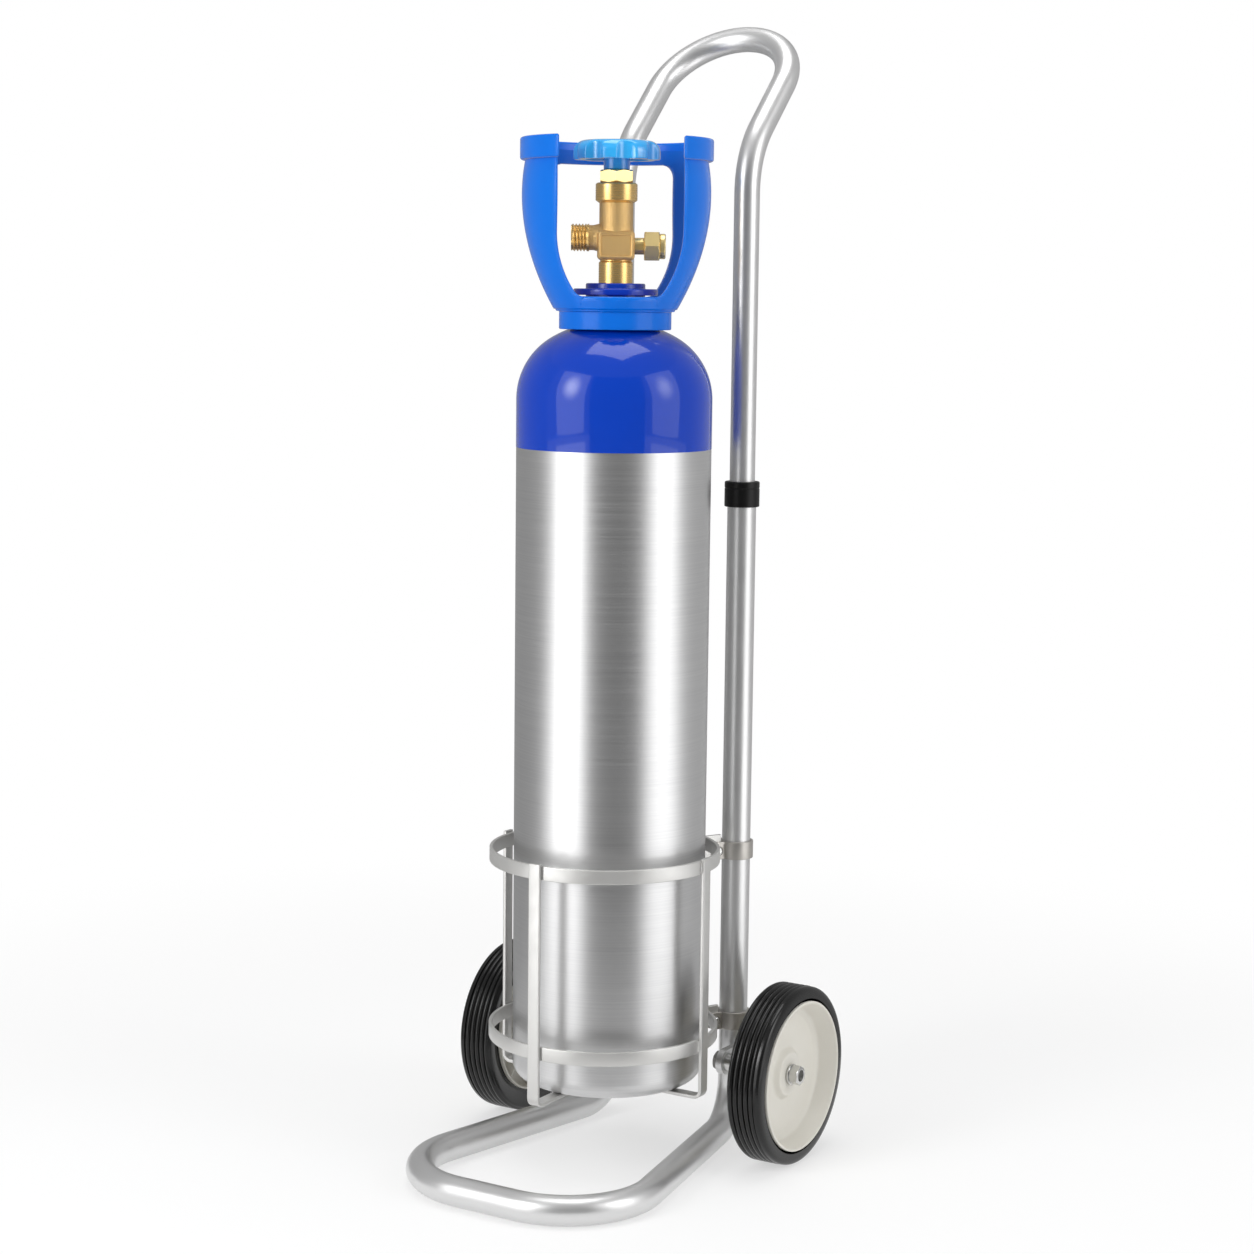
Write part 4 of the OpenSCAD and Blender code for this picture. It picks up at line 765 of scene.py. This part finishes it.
def open_band(middle_r, thick, half_gap, rounding=2.0, steps=110, corner=6):
    """Band with a gap cut straight through its front: at radius r an end lies arcsin(gap / r) from the front.

    Towards both ends the section is drawn in by a quarter circle, so the ends are as soft as the long edges.
    """
    section = bar_section(thick, BAND_H, rounding, corner)
    core = np.sign(section) * (np.array([thick, BAND_H]) / 2 - rounding)
    q = np.linspace(0, np.pi / 2, corner)
    share = np.concatenate([0 * q, np.linspace(0, 1, steps), 0 * q + 1])
    full = np.concatenate([np.sin(q), np.ones(steps), np.sin(q[::-1])])
    end_shift = rounding * (1 - np.cos(q))
    shift = np.concatenate([end_shift, np.linspace(rounding, -rounding, steps), -end_shift[::-1]])
    ring = core + (section - core) * full[:, None, None]
    r, height = middle_r + ring[..., 0], ring[..., 1] + GUARD_TOP - BAND_H / 2
    gap = np.arcsin(half_gap / r)
    angle = gap - np.pi / 2 + (2 * np.pi - 2 * gap) * share[:, None] + shift[:, None] / r
    return capped(polar(r, angle, height))


def rear_ledge(low, high):
    """Inside of the band at the rear: the posts' wall carried on from one post to the other."""
    z = np.linspace(low, high, 8)
    r = np.concatenate([guard_radius(z) - GUARD_WALL, guard_radius(z[::-1])])
    t = np.radians(np.linspace(45, 135, 40))
    return capped(polar(r, t[:, None], np.concatenate([z, z[::-1]])))


z = np.linspace(BOWL_LOW, SILL_Z - RIM_RISE, 8)
bowl_out = np.stack([guard_radius(z), z], 1)
t = np.linspace(0, np.pi, 11)
rim_z = SILL_Z - RIM_RISE + RIM_RISE * np.sin(t)
rim = np.stack([guard_radius(rim_z) - GUARD_WALL / 2 * (1 - np.cos(t)), rim_z], 1)
hole, seat_r, seat_z = NECK_R + 2 * FIT, RING_R + FIT, RING_HIGH + FIT
collar_part = rounded([
    (rim[-1, 0], BOWL_FLOOR, 0.2), (hole, BOWL_FLOOR, 0.3), (hole, seat_z, 0.3), (seat_r, seat_z, 0.3),
    (seat_r, SKIRT_LOW, 0.4), (SKIRT_R, SKIRT_LOW, 1.0), (SKIRT_R, 730.4, 0.6), (50.4, 730.8, 1.2)], 5)
bowl = lathe(np.concatenate([bowl_out, rim, collar_part]), 144)
band = open_band(BAND_R, BAND_T, WINDOW_HALF)
guard = bent([bowl, band, rear_ledge(LEDGE_LOW, LEDGE_HIGH)] + both_sides([post()]), GUARD_TURN)
moulding = make_piece("guard_moulding", guard, "guard", "cylinder", "valve_guard", sharp=60)
moulding.visible_glossy = False

# %% [markdown]
# ## Valve
# The body is cast brass with a square block, a turned stem and neck, a threaded outlet on the left and a
# relief valve on the right. The outlet's thread is a helix: its radius rises and falls with the distance
# along the axis minus the angle, so the ridges climb as they go round.

# %% Flange and valve body
VALVE_TURN, BLOCK_Z, BLOCK_TOP, BLOCK_W = 32.0, 773.5, 797.5, 31.3
RELIEF_Z, OUTLET_Z = 785.0, 791.7
PANEL_W, PANEL_H, PANEL_BEAD = 26.8, 18.4, 1.1
THREAD_PITCH, THREAD_R, THREAD_DEPTH, THREAD_LONG, THREAD_AT = 2.7, 11.45, 1.4, 15.0, 22.6
flange = lathe(rounded([(12, 744.05, 0), (35.5, 744.05, 1.0), (35.5, 749.5, 1.6),
                        (25, 749.5, 0.6), (25, 754, 1.4), (12, 754, 0)], 5))
make_piece("flange_discs", [flange], "deep_blue", "cylinder", "valve_flange")
stem = lathe(rounded([(0, 750, 0), (14.3, 750, 0), (14.3, 771.2, 0.8),
                      (13.2, 772.2, 0.3), (13.2, 776, 0), (0, 776, 0)], 4), 72)
square = bar_section(BLOCK_W, BLOCK_W, 3.6, 6)
block = slab(square, BLOCK_Z - 0.3, BLOCK_TOP, 3.2, 6)
upper = lathe(rounded([(0, 792, 0), (15.4, 792, 0), (14.2, 801, 3.0),
                       (14.2, 822.2, 0.6), (0, 822.2, 0)], 5), 72)
panel_x, panel_z = bar_section(PANEL_W, PANEL_H, 2.0, 6).T
panel = np.stack([panel_x, 0 * panel_x - BLOCK_W / 2, panel_z + RELIEF_Z], 1)
rim_bead = sweep(panel, np.array([0, -1.0, 0]), ring_section(PANEL_BEAD, 12), True)
x = np.linspace(0, THREAD_LONG, 91)[:, None]
t = np.linspace(0, 2 * np.pi, 64, endpoint=False)
turns = (x - THREAD_PITCH * t / (2 * np.pi)) / THREAD_PITCH
ridge = 0.5 + 0.5 * np.cos(2 * np.pi * turns)
fade = np.clip(np.minimum(x - 0.6, THREAD_LONG - x) / 1.6, 0, 1)
end_cut = 0.9 * np.clip(1 - (THREAD_LONG - x) / 1.2, 0, 1)
thread = polar(THREAD_R - THREAD_DEPTH * (1 - ridge) * fade - end_cut, t, THREAD_AT + x)
mouth_r, mouth_z = np.array([(8.2, 37.6), (7.0, 36.4), (6.5, 34), (0, 34)]).T[..., None]
foot_ring = polar(np.zeros((1, 1)), t, THREAD_AT)
outlet_thread = grid(np.concatenate([foot_ring, thread, polar(mouth_r, t, mouth_z)]), False, True)
outlet_neck = lathe(rounded([(0, 4, 0), (12.4, 4, 0), (11.6, 14, 0.5),
                             (10.4, 19, 2), (10.4, 23.4, 0.3), (0, 23.4, 0)], 4), 64)
outlet_thread, outlet_neck = bent(bent([outlet_thread, outlet_neck], -90, axis="Y"), at=(0, 0, OUTLET_Z))
casting = bent([block, upper, rim_bead, outlet_neck], VALVE_TURN)
make_piece("valve_casting", casting, "brass", "cylinder", "valve_body")
turned_ends = bent([stem, outlet_thread], VALVE_TURN)
make_piece("valve_turned_ends", turned_ends, "brass", "cylinder", material=TURNED_BRASS)

# %% Bonnet, gland nut and relief valve
BONNET_R, BONNET_TOP = 17.5, 837.0
bonnet = lathe(rounded([(0, 820.5, 0), (14.6, 820.5, 0), (BONNET_R, 822.6, 0.4), (BONNET_R, 835.8, 0.5),
                        (16.2, BONNET_TOP, 0.4), (0, BONNET_TOP, 0)], 4), 96)
make_piece("bonnet_ring", [bonnet], "brass", "cylinder", "valve_bonnet", material=TURNED_BRASS)
gland = bent([hexagon(27, 10.7, 6.1, 2.2)], at=(0, 0, BONNET_TOP))
make_piece("gland_hex", gland, "brass", "cylinder", "gland_nut", material=POLISHED_BRASS)


def on_relief(shells):
    """Lays shells made about Z on the relief port, pointing along the valve's +X."""
    return bent(bent(bent(shells, 90, axis="Y"), at=(0, 0, RELIEF_Z)), VALVE_TURN)


relief_stem = lathe(rounded([(0, 11, 0), (7, 11, 0), (7, 24, 0.6), (0, 24, 0)], 4), 48)
relief_hex = bent([hexagon(23.5, 13, 0.0, 1.6)], 30, at=(0, 0, 23.5))
make_piece("relief_hexagon", on_relief([relief_stem] + relief_hex), "brass", "cylinder", "relief_body",
           material=POLISHED_BRASS)
cap = lathe(rounded([(2, 36.5, 0), (10.5, 36.5, 0.8), (10.5, 41.5, 1.2), (4.4, 41.5, 0.6), (4.0, 39.5, 0.3),
                     (2, 39.5, 0)], 5), 64)
make_piece("relief_cap_ring", on_relief([cap]), "brass", "cylinder", "relief_cap", material=POLISHED_BRASS)

# %% [markdown]
# ## Handwheel
# The handwheel is a moulded knob with eight finger scallops. In polar form its rim is the smaller of the
# outer circle and the near side of each scallop's circle. A smooth minimum of the two leaves a soft arch
# where a scallop runs out in the domed crown.

# %% Handwheel
RIM_R, SCALLOPS, SCALLOP_R, SCALLOP_DEPTH, SMOOTH = 36.4, 8, 10.5, 5.0, 70
BORE, HUB_R, DISH_Z, CROWN_Z = 4.05, 11.0, 866.0, 871.8
t = np.linspace(0, 2 * np.pi, 288, endpoint=False)
pitch = 2 * np.pi / SCALLOPS
near = (t + pitch / 2) % pitch - pitch / 2
reach = RIM_R + SCALLOP_R - SCALLOP_DEPTH
inside = SCALLOP_R ** 2 - (reach * np.sin(near)) ** 2
notch = np.where(inside > 0, reach * np.cos(near) - np.sqrt(np.clip(inside, 0, None)), 2 * RIM_R)
wheel_profile = rounded([
    (BORE, 848, 0.4), (HUB_R, 848, 0.8), (HUB_R, 857.5, 1.0), (27, 857.5, 1.0), (27, 856, 0.4),
    (RIM_R, 856, 1.4), (RIM_R, CROWN_Z, 10.0), (24.4, CROWN_Z, 1.2), (23.4, DISH_Z, 2.0),
    (BORE, DISH_Z, 0.4)], 12)
r = (wheel_profile[:, :1] ** -SMOOTH + notch ** -SMOOTH) ** (-1 / SMOOTH)
knob = grid(polar(r, t, wheel_profile[:, 1:]), True, True)
make_piece("handwheel_knob", [knob], "handwheel", "spindle", "handwheel", sharp=50)
top_nut = bent([hexagon(13, 5, BORE, 0.9, 72)], at=(0, 0, DISH_Z))
make_piece("handwheel_nut_hex", top_nut, "zinc", "spindle", "handwheel_nut")

# %% [markdown]
# ## Solids that stay
# Pieces that are hidden or plain, such as brackets, spacers, bushes, seals and the spindle, keep their
# solids. They only take the same finishes.

# %% Finishes for the solids that stay
KEPT = {
    "zinc": ("axle_spacers", "burst_disc"),
    "frame_tube": ("axle_bracket_left", "axle_bracket_right"),
    "collar": ("handle_plug_left", "handle_plug_right"),
    "bush": ("wheel_bush_left", "wheel_bush_right"),
    "seal": ("neck_seal",),
    "packing": ("gland_packing", "seat_disc"),
    "brass": ("valve_spindle", "valve_plug"),
}
for slot, names in KEPT.items():
    for name in names:
        solid = bpy.data.objects.get(name)
        if solid is not None:
            solid.data.materials.clear()
            solid.data.materials.append(FINISH[slot])
print("kept solids:", sum(len(names) for names in KEPT.values()))

# %% [markdown]
# ## Stage
# The floor is pale and fades to the white of the world, so the trolley stands on a bright sweep with soft
# contact shadows. Metal needs something to reflect: two tall soft lamps stand at the front left and right,
# each with a hot middle for the glints, and grey cards around them give the tubes and the brushed body
# their dark bands. Bright strips on the floor under the lamps carry the bands down to the base. Only
# reflections see the cards.


# %% What sees the white
def seen_directly(tree):
    """One where a ray comes from the camera, a reflection or a clear body, and nought elsewhere."""
    kind = new_node(tree, "ShaderNodeLightPath")
    first = new_node(tree, "ShaderNodeMath")
    both = new_node(tree, "ShaderNodeMath")
    both.use_clamp = True
    wire(kind, "Is Camera Ray", first, 0)
    wire(kind, "Is Glossy Ray", first, 1)
    wire(first, "Value", both, 0)
    wire(kind, "Is Transmission Ray", both, 1)
    return both.outputs["Value"]


# %% Floor
FLOOR_NEAR, FLOOR_FAR, FLOOR_HALF, NEAR_WHITE = 0.45, 1.25, 9.0, 0.56
floor_mesh = bpy.data.meshes.new("floor")
corners = bar_section(2 * FLOOR_HALF, 2 * FLOOR_HALF, 0.0, 0)
floor_mesh.from_pydata([(x, y, 0.0) for x, y in corners], [], [(0, 1, 2, 3)])
floor_finish = finish("pale_floor", (0.93, 0.93, 0.93), 1.0, specular=0.0)
tree = floor_finish.node_tree
paper = principled(floor_finish)
white = new_node(tree, "ShaderNodeEmission", Color=(1, 1, 1, 1), Strength=1.0)
place = new_node(tree, "ShaderNodeTexCoord")
far = new_node(tree, "ShaderNodeVectorMath")
far.operation = "LENGTH"
fade_range = {"From Min": FLOOR_NEAR, "From Max": FLOOR_FAR, "To Min": NEAR_WHITE}
fade = new_node(tree, "ShaderNodeMapRange", **fade_range)
fade.interpolation_type = "SMOOTHSTEP"
share = new_node(tree, "ShaderNodeMath")
share.operation = "MULTIPLY"
mix = new_node(tree, "ShaderNodeMixShader")
wire(place, "Object", far, 0)
wire(far, "Value", fade, "Value")
wire(fade, "Result", share, 0)
tree.links.new(seen_directly(tree), share.inputs[1])
wire(share, "Value", mix, "Fac")
wire(paper, "BSDF", mix, 1)
wire(white, "Emission", mix, 2)
tree.links.new(mix.outputs["Shader"], tree.nodes["Material Output"].inputs["Surface"])
floor_mesh.materials.append(floor_finish)
floor = bpy.data.objects.new("floor", floor_mesh)
bpy.context.scene.collection.objects.link(floor)
print("floor fades to white from", FLOOR_NEAR, "to", FLOOR_FAR, "m")

# %% World
world = bpy.data.worlds.new("studio")
bpy.context.scene.world = world
world.use_nodes = True
tree = world.node_tree
tree.nodes.clear()
glow = new_node(tree, "ShaderNodeBackground", Color=(1, 1, 1, 1), Strength=0.5)
seen = new_node(tree, "ShaderNodeBackground", Color=(1, 1, 1, 1), Strength=1.0)
mix = new_node(tree, "ShaderNodeMixShader")
out = new_node(tree, "ShaderNodeOutputWorld")
tree.links.new(seen_directly(tree), mix.inputs["Fac"])
wire(glow, "Background", mix, 1)
wire(seen, "Background", mix, 2)
wire(mix, "Shader", out, "Surface")
print("white world ready")

# %% Lamps
FRONT = math.radians(-58.2)
HOT_SPOT, HOT_REACH = (0.5, 0.6, 0.0), 0.38


def toward(degrees, distance, height):
    """Place at an angle to the right of the front as the camera sees it, about the cylinder's axis."""
    a = FRONT + math.radians(degrees)
    return np.array([distance * math.cos(a), distance * math.sin(a), height]) + AXIS


def placed(x, y, z, place):
    """Matrix of an object whose own axes point along x, y and z."""
    matrix = Matrix.Identity(4)
    for row, values in enumerate(np.stack([x, y, z, np.asarray(place, float)], 1)):
        matrix[row] = values
    return matrix


def facing(place, aim):
    """Matrix that puts an object at a place with its -Z towards an aim."""
    back = np.asarray(place, float) - np.asarray(aim, float)
    back /= np.linalg.norm(back)
    side = np.cross([0, 0, 1.0], back)
    side /= np.linalg.norm(side)
    return placed(side, np.cross(back, side), back, place)


def lamp(name, place, aim, width, height, power):
    """Rectangular soft lamp at a place, turned to face a point."""
    data = bpy.data.lights.new(name, "AREA")
    data.shape = "RECTANGLE"
    data.size, data.size_y = width, height
    data.energy = power
    made = bpy.data.objects.new(name, data)
    made.matrix_world = facing(place, aim)
    bpy.context.scene.collection.objects.link(made)
    return made


def hot_middle(made, hot, rim):
    """Lets a lamp fade outwards: its strength falls smoothly from hot, a little above its middle, to rim."""
    made.data.use_nodes = True
    tree = made.data.node_tree
    place = new_node(tree, "ShaderNodeNewGeometry")
    away = new_node(tree, "ShaderNodeVectorMath")
    away.operation = "DISTANCE"
    away.inputs[1].default_value = HOT_SPOT
    fall = new_node(tree, "ShaderNodeMapRange", **{"From Max": HOT_REACH, "To Min": hot, "To Max": rim})
    fall.interpolation_type = "SMOOTHSTEP"
    wire(place, "Parametric", away, 0)
    wire(away, "Value", fall, "Value")
    tree.links.new(fall.outputs["Result"], tree.nodes["Emission"].inputs["Strength"])


LAMP_FAR, LAMP_Z, LAMP_TALL, AIM = 2.2, 1.2, 2.3, (0, 0, 0.75)
left_lamp = lamp("left_softbox", toward(-52, LAMP_FAR, LAMP_Z), AIM, 1.5, LAMP_TALL, 23)
right_lamp = lamp("right_softbox", toward(63, LAMP_FAR, LAMP_Z), AIM, 1.55, LAMP_TALL, 16.5)
hot_middle(left_lamp, 4.8, 0.75)
hot_middle(right_lamp, 3.6, 0.8)
lamp("top_softbox", (0.0, 0.1, 2.9), (0, 0, 0.5), 1.5, 1.5, 22)
print("three lamps ready")


# %% Grey cards
ROOM, CARD_LOW, STRIP_Z = 3.4, 0.004, 0.006


def card(name, first, last, grey, r, h):
    """Turned strip between two angles, seen only by reflections: x = r cos t, y = r sin t, z = h."""
    t = FRONT + np.radians(np.linspace(first, last, 24))
    r, h = np.array([r, h])[..., None]
    points, faces = grid(polar(r, t, h), False, False)
    mesh = bpy.data.meshes.new(name)
    mesh.from_pydata(points.tolist(), [], faces.tolist())
    made = finish(name, (0, 0, 0), 0.5, specular=0.0)
    principled(made).inputs["Emission Color"].default_value = (grey, grey, grey, 1)
    principled(made).inputs["Emission Strength"].default_value = 1.0
    mesh.materials.append(made)
    piece = bpy.data.objects.new(name, mesh)
    bpy.context.scene.collection.objects.link(piece)
    piece.visible_camera = False
    piece.visible_diffuse = False
    piece.visible_shadow = False


with_floor = ((0.42, ROOM, ROOM), (CARD_LOW, CARD_LOW, ROOM))
wall_only = ((2.6, ROOM, ROOM), (CARD_LOW, CARD_LOW, ROOM))
floor_strip = ((0.8, 2.15), (STRIP_Z, STRIP_Z))
card("front_card", -28, 36, 0.18, *with_floor)
card("right_rear_card", 94, 150, 0.48, *with_floor)
card("rear_card", 150, 276, 0.34, *with_floor)
card("left_card", -84, -28, 0.5, *wall_only)
card("right_card", 36, 94, 0.5, *wall_only)
card("ceiling_card", -180, 180, 0.42, (ROOM, 0.05), (ROOM, ROOM))
card("left_reflector", -71, -33, 2.8, *floor_strip)
card("right_reflector", 44, 82, 2.2, *floor_strip)
print("six grey cards and two floor reflectors ready")

# %% [markdown]
# ## Camera
# The camera stands where the photograph was taken from: 75 mm lens, about 32 degrees to the right of the
# front, a little above the middle and looking slightly down, with a small roll.

# %% Camera
CAMERA_AT, LENS, SENSOR = np.array([1175.9, -1869.2, 747.0]), 75.0, 36.0
azimuth, pitch, roll = np.radians([31.84, 7.309, 0.66])
ahead = np.array([-math.sin(azimuth), math.cos(azimuth), 0.0])
look = ahead * math.cos(pitch) - rise * math.sin(pitch)
right = np.array([math.cos(azimuth), math.sin(azimuth), 0.0])
above = np.cross(right, look)
right, above = (right * math.cos(roll) + above * math.sin(roll),
                above * math.cos(roll) - right * math.sin(roll))
camera_data = bpy.data.cameras.new("camera")
camera_data.lens = LENS
camera_data.sensor_width = SENSOR
camera = bpy.data.objects.new("camera", camera_data)
place = CAMERA_AT * MM + AXIS
camera.matrix_world = placed(right, above, -look, place)
bpy.context.scene.collection.objects.link(camera)
bpy.context.scene.camera = camera
bpy.context.scene.view_settings.view_transform = "Standard"
print("camera at", place.round(3))
